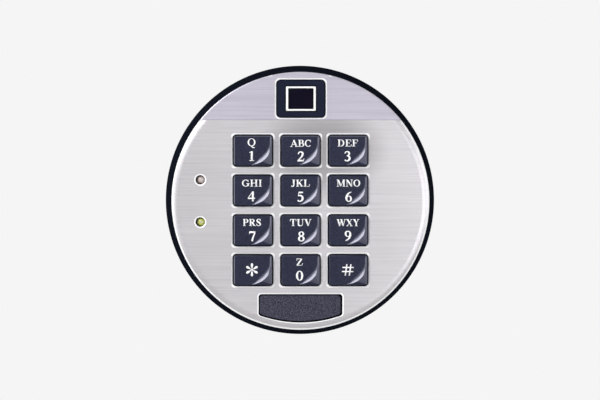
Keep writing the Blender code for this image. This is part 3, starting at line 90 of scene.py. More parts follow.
# Finishes. Every material is a Principled shader, whose varying inputs come from nodes that
# read Object coordinates in metres.
class Wire:
    """A node's output in a material. Python's operators on it add Math nodes."""

    def __init__(self, finish, socket):
        self.finish = finish
        self.socket = socket

    def maths(self, operation, first, second=0.0):
        return self.finish.node("ShaderNodeMath", {"operation": operation}, first, second)

    def __add__(self, other):
        return self.maths("ADD", self, other)

    __radd__ = __add__

    def __sub__(self, other):
        return self.maths("SUBTRACT", self, other)

    def __rsub__(self, other):
        return self.maths("SUBTRACT", other, self)

    def __mul__(self, other):
        return self.maths("MULTIPLY", self, other)

    __rmul__ = __mul__

    def __truediv__(self, other):
        return self.maths("DIVIDE", self, other)

    def __pow__(self, other):
        return self.maths("POWER", self, other)

    def sine(self):
        return self.maths("SINE", self)

    def or_more(self, other):
        return self.maths("MAXIMUM", self, other)

    def step(self, low, high):
        """0 below low, 1 above high, and a soft slope between. It falls where high is the lower."""
        ranged = {"interpolation_type": "SMOOTHSTEP"}
        if high > low:
            return self.finish.node("ShaderNodeMapRange", ranged, self, low, high, 0.0, 1.0)
        return self.finish.node("ShaderNodeMapRange", ranged, self, high, low, 1.0, 0.0)


class Finish:
    """A material that is named after the finish of a real piece."""

    def __init__(self, name, colour, roughness, **constants):
        self.material = bpy.data.materials.new(name)
        self.material.use_nodes = True
        self.tree = self.material.node_tree
        self.shader = self.tree.nodes["Principled BSDF"]
        self.feed(self.shader.inputs["Base Color"], (*colour, 1.0))
        self.feed(self.shader.inputs["Roughness"], roughness)
        for socket, value in constants.items():
            self.feed(self.shader.inputs[socket.replace("_", " ")], value)

    def feed(self, socket, value):
        if isinstance(value, Wire):
            self.tree.links.new(value.socket, socket)
        else:
            socket.default_value = value

    def node(self, kind, settings=None, *values, out=0, **named):
        made = self.tree.nodes.new(kind)
        for setting, value in (settings or {}).items():
            setattr(made, setting, value)
        for socket, value in [*enumerate(values), *named.items()]:
            self.feed(made.inputs[socket], value)
        return Wire(self, made.outputs[out])

    def place(self, stretch=(1.0, 1.0, 1.0)):
        """The place on the piece, in metres, from the Texture Coordinate node's Object output."""
        return self.node("ShaderNodeMapping", None, self.node("ShaderNodeTexCoord", out=3), Scale=stretch)

    def noise(self, scale, detail=3.0, stretch=(1.0, 1.0, 1.0)):
        return self.node("ShaderNodeTexNoise", None, self.place(stretch), Scale=scale, Detail=detail)

    def axis(self, number):
        """The X, Y or Z of the place on the piece."""
        return self.node("ShaderNodeSeparateXYZ", None, self.place(), out=number)

    def reach(self, x, z):
        """The distance from a line that runs straight into the door."""
        across = self.axis(0) - x
        up = self.axis(2) - z
        return (across * across + up * up) ** 0.5

    def mix(self, share, first, second):
        made = self.tree.nodes.new("ShaderNodeMix")
        made.data_type = "RGBA"
        for number, value in ((0, share), (6, first), (7, second)):
            if isinstance(value, tuple):
                value = (*value[:3], 1.0)
            self.feed(made.inputs[number], value)
        return Wire(self, made.outputs[2])

    def vary(self, height=None, depth=0.00001, strength=1.0, **inputs):
        """Links what changes over the surface, with a height in metres as bump."""
        for socket, value in inputs.items():
            self.feed(self.shader.inputs[socket.replace("_", " ")], value)
        if height:
            bump = self.node("ShaderNodeBump", None, Strength=strength, Distance=depth, Height=height)
            self.feed(self.shader.inputs["Normal"], bump)
        return self

    def coat(self, share, first, second, grain, roughness, spread, depth=0.0, strength=1.0):
        """The usual finish: a share mixes two colours, and a grain moves roughness and height."""
        self.vary(Base_Color=self.mix(share, first, second), Roughness=roughness + spread * grain)
        return self.vary(grain, depth, strength) if depth else self


# Studio. A pale floor below the unit and four soft lamps round it. The camera sees floor and
# world as plain white paper, and so do metal and glass.
PAPER = (0.913, 0.913, 0.913, 1.0)
ROOM_LEVEL = 0.50


def light_path(tree):
    """1 for what the camera, metal and glass see, and 0 for what lights a dull surface."""
    rays = tree.nodes.new("ShaderNodeLightPath")
    seen = rays.outputs["Is Camera Ray"]
    for ray in ("Is Glossy Ray", "Is Transmission Ray"):
        either = tree.nodes.new("ShaderNodeMath")
        either.operation = "MAXIMUM"
        tree.links.new(seen, either.inputs[0])
        tree.links.new(rays.outputs[ray], either.inputs[1])
        seen = either.outputs[0]
    return seen


def papered(tree, share, lit, paper, output):
    """Shows one shader as plain paper where the share is 1, and as it is lit where it is 0."""
    paper.inputs["Color"].default_value = PAPER
    mixed = tree.nodes.new("ShaderNodeMixShader")
    sockets = zip(mixed.inputs, (share, lit.outputs[0], paper.outputs[0]))
    for socket, value in sockets:
        tree.links.new(value, socket)
    tree.links.new(mixed.outputs[0], tree.nodes[output].inputs[0])


world = bpy.data.worlds.new("studio")
bpy.context.scene.world = world
world.use_nodes = True
sky = world.node_tree
room = sky.nodes["Background"]
room.inputs["Color"].default_value = PAPER
room.inputs["Strength"].default_value = ROOM_LEVEL
papered(sky, light_path(sky), room, sky.nodes.new("ShaderNodeBackground"), "World Output")

FLOOR_LEVEL = -0.125
bpy.ops.object.select_all(action="DESELECT")
bpy.ops.mesh.primitive_circle_add(
    vertices=96, radius=0.7, fill_type="NGON", location=(0.0, 0.0, FLOOR_LEVEL)
)
floor = bpy.context.object
floor.name = "floor"
floor_finish = Finish("floor_paper", PAPER[:3], 0.9, Specular_IOR_Level=0.1)
floor_finish.vary(Roughness=0.85 + 0.1 * floor_finish.noise(3.0))
ground = floor_finish.tree
from_middle = (floor_finish.axis(0) ** 2.0 + floor_finish.axis(1) ** 2.0) ** 0.5
fade = 0.45 + 0.55 * from_middle.step(0.15, 0.55)
share = Wire(floor_finish, light_path(ground)) * fade
glow = ground.nodes.new("ShaderNodeEmission")
papered(ground, share.socket, floor_finish.shader, glow, "Material Output")
floor.data.materials.append(floor_finish.material)

# Each lamp: degrees off the line to the camera, degrees round it, two sides in metres, radiance.
LAMP_DISTANCE = 1.1
for name, off_axis, clock, long_side, short_side, radiance in (
    ("softbox_upper_left", 61.0, 135.0, 1.05, 0.45, 6.0),
    ("lamp_left", 66.0, 203.0, 1.0, 1.3, 1.45),
    ("lamp_right", 62.0, -14.0, 0.9, 1.6, 1.25),
    ("lamp_front_right", 24.0, -25.0, 0.5, 0.5, 3.0),
):
    tilt = math.radians(off_axis)
    turn = math.radians(clock)
    outward = Vector((math.sin(tilt) * math.cos(turn), -math.cos(tilt), math.sin(tilt) * math.sin(turn)))
    along = Vector((0.0, -1.0, 0.0))
    along = (along - along.dot(outward) * outward).normalized()
    lamp = bpy.data.objects.new(name, bpy.data.lights.new(name, "AREA"))
    bpy.context.scene.collection.objects.link(lamp)
    lamp.location = outward * LAMP_DISTANCE
    lamp.rotation_euler = Matrix((along.cross(outward), along, outward)).transposed().to_euler()
    lamp.data.shape = "RECTANGLE"
    lamp.data.size = short_side
    lamp.data.size_y = long_side
    lamp.data.energy = radiance * math.pi * long_side * short_side
bpy.context.scene.view_settings.view_transform = "Standard"


# Mounting plate. A zinc plated steel disc, blanked and pressed in one blow, with four hooks bent
# up from it. Two screws in its slots hold it to the door, and the lock's cable passes its middle.
BENCH_TO_DOOR = Matrix.Rotation(math.pi / 2, 4, "X") @ Matrix.Scale(0.001, 4)


def alone(piece):
    """Makes one piece the selected and active object."""
    bpy.ops.object.select_all(action="DESELECT")
    piece.select_set(True)
    bpy.context.view_layer.objects.active = piece
    return piece


def moved(piece, matrix):
    """Moves and turns a piece's mesh, and leaves its object at the origin."""
    alone(piece)
    piece.matrix_world = matrix
    bpy.ops.object.transform_apply()
    return piece


def added(name):
    """Names what a primitive has just made and applies its place."""
    made = alone(bpy.context.object)
    made.name = name
    made.data.name = name
    bpy.ops.object.transform_apply()
    return made


def pick(piece, kind, test):
    """Opens a piece in edit mode with only the vertices, edges or faces that pass a test selected."""
    alone(piece)
    bpy.ops.object.mode_set(mode="EDIT")
    bpy.ops.mesh.select_mode(type=kind)
    bpy.ops.mesh.select_all(action="DESELECT")
    mesh = bmesh.from_edit_mesh(piece.data)
    for item in {"VERT": mesh.verts, "EDGE": mesh.edges, "FACE": mesh.faces}[kind]:
        if test(item):
            item.select_set(True)
    mesh.select_flush_mode()
    bmesh.update_edit_mesh(piece.data)


def close_edit():
    bpy.ops.object.mode_set(mode="OBJECT")


def round_off(piece, kind, test, radius, steps):
    """Rounds the edges that pass a test, or those round the faces that pass it."""
    pick(piece, kind, test)
    bpy.ops.mesh.bevel(offset=radius, segments=steps, affect="EDGES")
    close_edit()


def box(name, size, back, front, place=(0.0, 0.0), corner=0.0, flare=0.0, steps=6):
    """A block between two levels, its upright edges rounded, its front face widened by the flare."""
    bpy.ops.object.select_all(action="DESELECT")
    scale = (size[0], size[1], front - back)
    bpy.ops.mesh.primitive_cube_add(size=1, location=(*place, (back + front) / 2), scale=scale)
    made = added(name)
    if corner:
        upright = lambda edge: abs(edge.verts[0].co.z - edge.verts[1].co.z) > 0.001
        round_off(made, "EDGE", upright, corner, steps)
    if flare:
        pick(made, "VERT", lambda vert: vert.co.z > (back + front) / 2)
        wider = (1 + 2 * flare / size[0], 1 + 2 * flare / size[1], 1)
        bpy.ops.transform.resize(value=wider, center_override=(*place, 0))
        close_edit()
    return made


def rod(name, radius, back, front, place=(0.0, 0.0), sides=48, end_radius=None):
    """A round bar between two levels, or a cone where its front end has another radius."""
    bpy.ops.object.select_all(action="DESELECT")
    bpy.ops.mesh.primitive_cone_add(
        vertices=sides,
        radius1=radius,
        radius2=radius if end_radius is None else end_radius,
        depth=front - back,
        location=(*place, (back + front) / 2),
    )
    return added(name)


def turned(name, profile, sides=96, place=(0.0, 0.0)):
    """A solid turned on a lathe: a disc is drawn out and resized through (radius, level) points."""
    bpy.ops.object.select_all(action="DESELECT")
    radius, level = profile[0]
    bpy.ops.mesh.primitive_circle_add(
        vertices=sides, radius=radius, fill_type="NGON", location=(*place, level)
    )
    made = added(name)
    pick(made, "FACE", lambda face: True)
    for next_radius, next_level in profile[1:]:
        bpy.ops.mesh.extrude_region_move(TRANSFORM_OT_translate={"value": (0, 0, next_level - level)})
        share = next_radius / radius
        bpy.ops.transform.resize(value=(share, share, 1), center_override=(*place, 0))
        radius, level = next_radius, next_level
    bpy.ops.mesh.select_all(action="SELECT")
    bpy.ops.mesh.normals_make_consistent(inside=False)
    close_edit()
    return made


def combine(target, operation, *tools):
    for tool in tools:
        step = target.modifiers.new(operation, "BOOLEAN")
        step.operation = operation
        step.object = tool
        alone(target)
        bpy.ops.object.modifier_apply(modifier=step.name)
        bpy.data.objects.remove(tool)
    return target


def cut(target, *tools):
    return combine(target, "DIFFERENCE", *tools)


def join(target, *tools):
    return combine(target, "UNION", *tools)


def smooth(piece, angle=35.0):
    """Shades a piece smooth below an angle, and lets its large flat faces stay flat."""
    alone(piece)
    bpy.ops.object.shade_smooth_by_angle(angle=math.radians(angle))
    step = piece.modifiers.new("flat_faces", "WEIGHTED_NORMAL")
    step.weight = 100
    step.keep_sharp = True
    bpy.ops.object.modifier_apply(modifier=step.name)
    return piece


def soften(piece, width, segments=2, angle=35.0):
    """Breaks a piece's sharp edges, as tools and moulds leave them, and shades the rest smooth."""
    step = piece.modifiers.new("soften", "BEVEL")
    step.width = width
    step.segments = segments
    step.limit_method = "ANGLE"
    step.angle_limit = math.radians(angle)
    step.use_clamp_overlap = True
    alone(piece)
    bpy.ops.object.modifier_apply(modifier=step.name)
    return smooth(piece, angle)


def seat(piece, finish, body, slot, *nodes):
    """Stands a finished piece on the door, in metres, and puts it on its body in its material."""
    moved(piece, BENCH_TO_DOOR)
    piece.data.materials.clear()
    piece.data.materials.append(finish.material)
    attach(piece, body)
    if nodes:
        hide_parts(*nodes)
    return piece


def zinc_plate():
    """Bright zinc: a cold grey that clouds towards blue and straw, with fine rolling marks."""
    finish = Finish("zinc_plated_steel", (0.56, 0.57, 0.57), 0.38, Metallic=1.0)
    cloud = finish.noise(90.0, 4.0)
    tint = finish.mix(cloud.step(0.35, 0.65), (0.52, 0.55, 0.60), (0.62, 0.60, 0.54))
    rolled = finish.noise(1400.0, 3.0, (0.04, 1.0, 1.0))
    return finish.vary(
        Base_Color=tint,
        Roughness=0.30 + 0.14 * rolled + 0.08 * cloud,
        height=rolled,
        depth=0.000012,
        strength=0.5,
    )


zinc = zinc_plate()
PLATE_RADIUS = 42.0
PLATE_FRONT = 2.5
LOCK_SCREW_PLACE = (0.0, -33.0)
HOOK_PLACES = ((-24.0, 16.0), (24.0, 16.0), (-33.0, -5.0), (33.0, -5.0))
HOOK_WIDTH = 8.0
HOOK_FRONT = 6.6
HOOK_THICKNESS = 1.5
HOOK_BEND = 1.2
DOOR_SLOT_X = 20.65
DOOR_SLOT_SIZE = (4.6, 9.0)
DOOR_SLOT_CORNER = 2.29
SLOT_SINK = 3.0
plate = rod("mounting_disc", PLATE_RADIUS, 0.0, PLATE_FRONT, sides=160)
for x, y in HOOK_PLACES:
    foot_place = (x, y - HOOK_THICKNESS / 2)
    hook = box("hook_stem", (HOOK_WIDTH, HOOK_THICKNESS), PLATE_FRONT - 1.0, HOOK_FRONT, foot_place)
    join(hook, box("hook_lip", (HOOK_WIDTH, 5.0), HOOK_FRONT - HOOK_THICKNESS, HOOK_FRONT, (x, y + 1.0)))
    fold = lambda edge: all(v.co.z > HOOK_FRONT - 0.1 and v.co.y < y - 1.4 for v in edge.verts)
    round_off(hook, "EDGE", fold, HOOK_BEND, 6)
    join(plate, hook)
for x in (-DOOR_SLOT_X, DOOR_SLOT_X):
    place = (x, 0.0)
    cut(plate, box("door_slot", DOOR_SLOT_SIZE, -1.0, 3.5, place, DOOR_SLOT_CORNER, 0.0, 10))
    cut(plate, box("door_sink", DOOR_SLOT_SIZE, 0.5, 3.5, place, DOOR_SLOT_CORNER, SLOT_SINK, 10))
cut(plate, rod("cable_hole", 8.0, -1.0, 3.5, sides=64))
cut(plate, rod("lock_hole", 1.7, -1.0, 3.5, LOCK_SCREW_PLACE, 32))
soften(plate, 0.18, 2)
seat(plate, zinc, "pad", "zinc_steel", "mounting_plate")


# Rear cover. The moulded black disc that closes the housing's back, with a window for each hook,
# two rails for the battery drawer and a countersunk hole for the screw that locks the unit on.
def moulded_black(name="moulded_black", colour=(0.0050, 0.0062, 0.0105), gloss=0.0):
    """Black moulded plastic with the fine pits of a spark eroded mould."""
    finish = Finish(name, colour, 0.6, Specular_IOR_Level=gloss)
    pits = finish.noise(5200.0, 2.0)
    patches = finish.noise(130.0, 3.0).step(0.3, 0.7)
    paler = tuple(1.35 * part for part in colour)
    return finish.coat(patches, colour, paler, pits, 0.48, 0.16, 0.00004, 0.35)


BASE_RADIUS = 52.7
RIM_LIFT = 0.4
FRONT_RADIUS = 49.5
DECK_FRONT = 33.2
LIP_ROUND = 0.6
WALL = 2.2
COVER_BACK = 2.8
COVER_FRONT = 4.8


def wall_radius(level, inset=0.0):
    """The outside of the tapered housing at a level above the door, less an inset."""
    share = (level - RIM_LIFT) / (DECK_FRONT - LIP_ROUND - RIM_LIFT)
    return BASE_RADIUS + (FRONT_RADIUS - BASE_RADIUS) * share - inset


COVER_POST_CIRCLE = 45.4
COVER_POST_PLACES = [
    (COVER_POST_CIRCLE * math.cos(turn), COVER_POST_CIRCLE * math.sin(turn))
    for turn in (math.radians(28), math.radians(152), math.radians(208), math.radians(332))
]
RAIL_X = 26.75
RAIL_WIDTH = 1.4
RAIL_FRONT = 7.8
RAIL_END = -11.5
black = moulded_black()
cover = rod("cover_disc", wall_radius(COVER_FRONT, WALL + 0.3), COVER_BACK, COVER_FRONT, sides=160)
rail_reach = wall_radius(COVER_FRONT, WALL + 3.0)
rail_start = -math.sqrt(rail_reach**2 - (RAIL_X + RAIL_WIDTH / 2) ** 2)
rail_size = (RAIL_WIDTH, RAIL_END - rail_start)
for x in (-RAIL_X, RAIL_X):
    middle = (x, (rail_start + RAIL_END) / 2)
    join(cover, box("drawer_rail", rail_size, COVER_BACK + 1.0, RAIL_FRONT, middle))
through = (COVER_BACK - 1.0, COVER_FRONT + 1.0)
for x, y in HOOK_PLACES:
    cut(cover, box("hook_window", (HOOK_WIDTH + 0.6, 6.5), *through, (x, y - 2.95), corner=0.4))
for place in COVER_POST_PLACES:
    cut(cover, rod("cover_screw_hole", 1.5, *through, place, 24))
cut(cover, rod("cable_hole", 11.0, *through, sides=72))
cut(cover, rod("lock_hole", 1.8, COVER_BACK - 1.0, 4.0, LOCK_SCREW_PLACE, 40))
cut(cover, rod("lock_sink", 1.8, 3.4, COVER_FRONT + 1.0, LOCK_SCREW_PLACE, 40, end_radius=4.2))
soften(cover, 0.2, 2)
seat(cover, black, "pad", "black_housing", "rear_cover")


# Housing. The tapered black cup that carries everything. Its front is a deck with the keys'
# openings, its wall is open at the foot for the battery drawer, and posts inside take the screws.
KEY_WIDTH = 14.5
KEY_HEIGHT = 11.3
DECK_KEY_GAP = 0.4
KEY_CORNER = 1.0
KEY_PITCH_X = 18.05
KEY_PITCH_Y = 15.1
KEY_FIELD_Y = -3.6
KEY_NAMES = ("1", "2", "3", "4", "5", "6", "7", "8", "9", "star", "0", "hash")
KEY_PLACES = [
    ((number % 3 - 1) * KEY_PITCH_X, KEY_FIELD_Y + (1.5 - number // 3) * KEY_PITCH_Y)
    for number in range(len(KEY_NAMES))
]
LED_X = -38.05
LED_Y = 8.0
DECK_BACK = 31.4
SENSOR_X = 0.15
SENSOR_Y = 38.8
BEZEL_SIZE = (18.05, 13.85)
FACE_STUDS = [(-13.0, -40.5), (13.0, -40.5), (-31.5, 26.0), (31.5, 26.0)]
SENSOR_STUDS = [(-20.0, 36.2), (20.0, 36.2)]
BOARD_POSTS = [(x, y) for x in (-32.5, 32.5) for y in (-18.0, 18.0)]
DRAWER_HALF = 27.3
FASCIA_FRONT = 24.3
BOARD_FRONT = 26.9
COVER_POST_BACK = 5.1
POST_ROOT = 0.9


def key_cutters(gap, back, front, flare=0.0):
    """Twelve rounded openings, each a key with the gap round it."""
    size = (KEY_WIDTH + 2 * gap, KEY_HEIGHT + 2 * gap)
    return [box("key_opening", size, back, front, place, KEY_CORNER + gap, flare) for place in KEY_PLACES]


def rounded(radius, level, across, down, steps=6):
    """The profile of a round edge, from a side upright at a radius to a front at a level."""
    turns = [math.pi / 2 * step / steps for step in range(steps + 1)]
    return [
        (max(0.05, radius - across * (1 - math.cos(turn))), level - down * (1 - math.sin(turn)))
        for turn in turns
    ]


shell = [(wall_radius(DECK_BACK, WALL), DECK_BACK), (BASE_RADIUS - WALL, RIM_LIFT), (BASE_RADIUS, RIM_LIFT)]
lip = rounded(FRONT_RADIUS, DECK_FRONT, LIP_ROUND, LIP_ROUND)
housing = turned("housing_shell", shell + lip, sides=192)
for place in BOARD_POSTS:
    join(housing, rod("board_post", 2.4, BOARD_FRONT, DECK_BACK + POST_ROOT, place, 32))
    cut(housing, rod("board_pilot", 1.3, BOARD_FRONT - 1.3, BOARD_FRONT + 3.6, place, 24))
for place in COVER_POST_PLACES:
    join(housing, rod("cover_post", 2.6, COVER_POST_BACK, DECK_BACK + POST_ROOT, place, 32))
    cut(housing, rod("cover_pilot", 1.4, COVER_POST_BACK - 1.3, COVER_POST_BACK + 6.7, place, 24))
deck = (DECK_BACK - 1.0, DECK_FRONT + 1.0)
cut(housing, box("drawer_opening", (2 * DRAWER_HALF, 20.2), COVER_FRONT, FASCIA_FRONT + 0.3, (0.0, -43.6)))
cut(housing, box("deck_sensor_opening", (17.0, 12.7), *deck, (SENSOR_X, SENSOR_Y)))
cut(housing, *key_cutters(DECK_KEY_GAP, *deck))
for y in (-LED_Y, LED_Y):
    cut(housing, rod("led_opening", 1.8, *deck, (LED_X, y), 40))
for place in FACE_STUDS + SENSOR_STUDS:
    cut(housing, rod("stud_hole", 1.8, *deck, place, 24))
soften(housing, 0.15, 2)
seat(housing, black, "pad", "black_housing", "housing")


# Circuit board and the parts on its back. Green glass fibre with a carbon pad for each key. The
# socket takes the plug of the lock's cable, which comes through the door and the two back discs.
def solder_mask():
    """Green lacquer over copper tracks, which show as slightly raised, paler lines."""
    finish = Finish("solder_mask", (0.02, 0.12, 0.05), 0.4)
    wander = finish.noise(160.0, 1.0)
    rows = (finish.axis(2) * 2400.0 + wander * 18.0).sine()
    columns = (finish.axis(0) * 2400.0 + wander * 14.0).sine()
    track = rows.step(0.72, 0.86).or_more(columns.step(0.86, 0.94))
    return finish.vary(
        Base_Color=finish.mix(track, (0.012, 0.10, 0.045), (0.035, 0.21, 0.085)),
        Roughness=0.32 + 0.15 * finish.noise(900.0),
        height=track,
        depth=0.00003,
    )


def plain_black_part():
    """Black moulded case of an electronic part, with a faint flow mark."""
    finish = Finish("component_case", (0.018, 0.018, 0.020), 0.5, Specular_IOR_Level=0.35)
    flow = finish.noise(420.0, 4.0)
    return finish.coat(flow, (0.012, 0.012, 0.014), (0.030, 0.030, 0.032), flow, 0.42, 0.2, 0.00002)


def amber_film():
    """Amber film with sixteen copper tracks side by side under it."""
    finish = Finish("ribbon_film", (0.45, 0.22, 0.05), 0.32)
    track = (finish.axis(0) * (2 * math.pi / 0.0005)).sine().step(-0.1, 0.3)
    tint = finish.mix(track, (0.42, 0.19, 0.035), (0.72, 0.40, 0.14))
    rough = 0.3 + 0.1 * finish.noise(700.0)
    return finish.vary(Base_Color=tint, Roughness=rough, height=track, depth=0.00003)


def capacitor_sleeve():
    """Dark blue shrunk sleeve with the pale stripe that marks the negative side."""
    finish = Finish("capacitor_sleeve", (0.02, 0.03, 0.10), 0.3)
    stripe = finish.axis(2).step(0.0261, 0.0262)
    return finish.coat(stripe, (0.018, 0.028, 0.10), (0.60, 0.62, 0.66), finish.noise(600.0), 0.26, 0.12)


def dress(finish, *names):
    """Gives carried-over CAD nodes their material. Their shapes are right as they are."""
    for name in names:
        mesh = frame["nodes"][name].data
        mesh.materials.clear()
        mesh.materials.append(finish.material)


board_lacquer = solder_mask()
part_black = plain_black_part()
dress(board_lacquer, "circuit_board", "sensor_board")
dress(part_black, "buzzer", "processor_chip", "ribbon_connector", "contact_block")
dress(amber_film(), "sensor_ribbon")
dress(capacitor_sleeve(), "capacitor")

SOLDER_SIDE = 24.7
SOCKET_MOUTH = 9.2
SOCKET_FLOOR = 21.2
socket = box("cable_socket_case", (13.2, 13.0), SOCKET_MOUTH, SOLDER_SIDE, corner=0.3, steps=3)
cut(socket, box("plug_space", (9.9, 6.9), SOCKET_MOUTH - 1, SOCKET_FLOOR, corner=0.3, steps=3))
cut(socket, box("latch_space", (4.0, 3.0), SOCKET_MOUTH - 1, SOCKET_FLOOR, (0.0, 3.95)))
soften(socket, 0.2, 2)
seat(socket, part_black, "pad", "component_black", "cable_socket")


def plated_brass():
    """Gold coloured plating, a little dulled in cloudy patches."""
    finish = Finish("plated_brass", (0.72, 0.53, 0.24), 0.28, Metallic=1.0)
    cloud = finish.noise(500.0, 3.0)
    dull = cloud.step(0.4, 0.7)
    return finish.coat(dull, (0.75, 0.56, 0.26), (0.60, 0.42, 0.20), cloud, 0.22, 0.2, 0.00001)


brass = plated_brass()
dress(brass, "contact_plus", "contact_minus")


def gather(name, pieces):
    """Makes like pieces one object, each still a closed body of its own."""
    bpy.ops.object.select_all(action="DESELECT")
    for piece in pieces:
        piece.select_set(True)
    bpy.context.view_layer.objects.active = pieces[0]
    bpy.ops.object.join()
    pieces[0].name = name
    pieces[0].data.name = name
    return pieces[0]


socket_pins = []
for row in (-1.3, 1.3):
    for column in (-3.3, -1.65, 0.0, 1.65, 3.3):
        pin = rod("socket_pin", 0.34, 13.7, 21.9, (column, row), 12)
        round_off(pin, "FACE", lambda face: face.normal.z < -0.9, 0.15, 2)
        socket_pins.append(pin)
seat(gather("socket_pins", socket_pins), brass, "pad", "contact_brass")


# Keypad mat. One moulding of pale grey rubber that lies on the board, with a hollow dome under
# each key. The dome gives way under a press and pushes the key back up.
def grey_rubber():
    """Matt silicone rubber with a little bloom on it and a fine skin."""
    finish = Finish("mat_rubber", (0.35, 0.36, 0.36), 0.75, Specular_IOR_Level=0.3)
    bloom = finish.noise(240.0, 4.0)
    finish.coat(bloom, (0.31, 0.32, 0.32), (0.40, 0.41, 0.41), bloom, 0.68, 0.2)
    return finish.vary(height=finish.noise(2600.0), depth=0.00002)


MAT_BACK = BOARD_FRONT
MAT_FRONT = 28.1
DOME_FRONT = 29.8
rubber = grey_rubber()
mat = box("mat_web", (55.6, 61.6), MAT_BACK, MAT_FRONT, (0.0, KEY_FIELD_Y), corner=3.0)
combine(mat, "INTERSECT", rod("mat_trim", 41.3, MAT_BACK - 1, MAT_FRONT + 1, sides=128))
for place in KEY_PLACES:
    cut(mat, rod("dome_hole", 4.6, MAT_BACK - 1, MAT_FRONT + 1, place, 32))
soften(mat, 0.25, 3)
seat(mat, rubber, "pad", "mat_rubber", "keypad_mat")
DOME = [(2.1, 29.2), (4.1, MAT_BACK), (4.9, MAT_BACK), (4.9, MAT_FRONT)]
DOME += [(4.5, 28.2), (3.2, 29.6), (2.9, DOME_FRONT), (1.0, DOME_FRONT)]
for key, (x, y) in zip(KEY_NAMES, KEY_PLACES):
    dome = turned(f"dome_{key}", DOME, 40, (x, y))
    seat(smooth(dome, 40.0), rubber, "pad", "mat_rubber")
    floor_place = (x / 1000, -MAT_BACK / 1000, y / 1000)
    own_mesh(dome)


# Keys. Twelve like caps of dark slate plastic. Each top is a level scoop that sweeps up to a crest
# round the lower right corner. Beyond the crest it falls to two edges, and a flange keeps the cap in.
def slate_plastic(name, roughness, gloss, index=1.45, shine=(1.0, 1.0, 1.0, 1.0)):
    """Slate blue plastic with very fine texture."""
    slate_blue = (0.011, 0.0135, 0.033)
    dark = (0.0105, 0.0125, 0.0295)
    pale = (0.0205, 0.0235, 0.0530)
    finish = Finish(name, slate_blue, roughness, Specular_IOR_Level=gloss, IOR=index, Specular_Tint=shine)
    cloud = finish.noise(1700.0, 3.0).step(0.3, 0.7)
    grain = finish.noise(7000.0, 2.0)
    return finish.coat(cloud, dark, pale, grain, roughness - 0.05, 0.1, 0.00001, 0.5)


KEY_FLOOR = 37.29
FLANGE_BACK = 30.1
CREST_CENTRE = Vector((-0.44, 1.95))
CREST_RADIUS = 7.2
CREST_HEIGHT = 0.66
CREST_FALL = 0.16
EDGE_DROP = 0.35
EDGE_STEP = 0.05
EDGE_FALL = 0.4
SWEEP_WIDTH = 2.2
SWEEP_STARTS = (-95, -52)
SWEEP_THINS = (-45, 15)
SWEEP_THINNING = 0.8
SWEEP_STOPS = (27, 20)
STRAIGHT_UP_TO = 30
SCOOP_STEP = 0.22
SCOOP_CORNER = (-2.0, -6.0)
SCOOP_REACH = 13.0
SCOOP_DEPTH = 8.0


def shave(piece, point, normal):
    """Cuts a piece along a plane, drops what lies beyond it and closes the cut."""
    pick(piece, "FACE", lambda face: True)
    bpy.ops.mesh.bisect(plane_co=point, plane_no=normal, use_fill=True, clear_outer=True)
    close_edit()


def meshed(curve, level=0.0, merge=0.001):
    """A curve as a closed mesh at a level, its doubles merged and its faces outwards."""
    made = bpy.data.objects.new(curve.name, curve)
    bpy.context.scene.collection.objects.link(made)
    alone(made)
    bpy.ops.object.convert(target="MESH")
    moved(made, Matrix.Translation((0, 0, level)))
    pick(made, "VERT", lambda vert: True)
    bpy.ops.mesh.remove_doubles(threshold=merge)
    bpy.ops.mesh.normals_make_consistent(inside=False)
    close_edit()
    return made


def flat_form(name, outline, back, front, fillet=0.0, steps=8):
    """A flat outline given thickness. A fillet rounds both faces outwards from the outline."""
    curve = bpy.data.curves.new(name, "CURVE")
    curve.dimensions = "2D"
    curve.fill_mode = "BOTH"
    curve.extrude = (front - back) / 2 - fillet
    curve.bevel_depth = fillet
    curve.bevel_resolution = steps
    line = curve.splines.new("POLY")
    line.points.add(len(outline) - 1)
    for point, (x, y) in zip(line.points, outline):
        point.co = (x, y, 0, 1)
    line.use_cyclic_u = True
    return meshed(curve, (back + front) / 2)


def arc(centre, radius, start, end, steps):
    """Points along an arc, its angles in degrees."""
    turns = [math.radians(start + (end - start) * step / steps) for step in range(steps + 1)]
    return [(centre[0] + radius * math.cos(turn), centre[1] + radius * math.sin(turn)) for turn in turns]


def ease(value, start, end):
    """0 at the start, 1 at the end, and smooth between."""
    share = min(1.0, max(0.0, (value - start) / (end - start)))
    return share * share * (3 - 2 * share)


def swept_height(place):
    """How high the scoop's floor stands at a place. The sweep shrinks towards both ends of the
    crest, and beyond the arc's right end a low one runs on straight up. Angles are in degrees."""
    out = place - CREST_CENTRE
    turn = math.atan2(out.y, out.x)
    angle = math.degrees(turn)
    crest = CREST_RADIUS / math.cos(turn) if 0 < angle < STRAIGHT_UP_TO else CREST_RADIUS
    share = ease(angle, *SWEEP_STARTS) * ease(angle, *SWEEP_STOPS)
    share *= 1 - SWEEP_THINNING * ease(angle, *SWEEP_THINS)
    along = 1 - (crest - out.length) / (SWEEP_WIDTH * max(share, 0.001))
    if along <= 0:
        return 0.0
    return share * CREST_HEIGHT * (along**2 if along < 1 else min(2 * along - 1, 1.6))


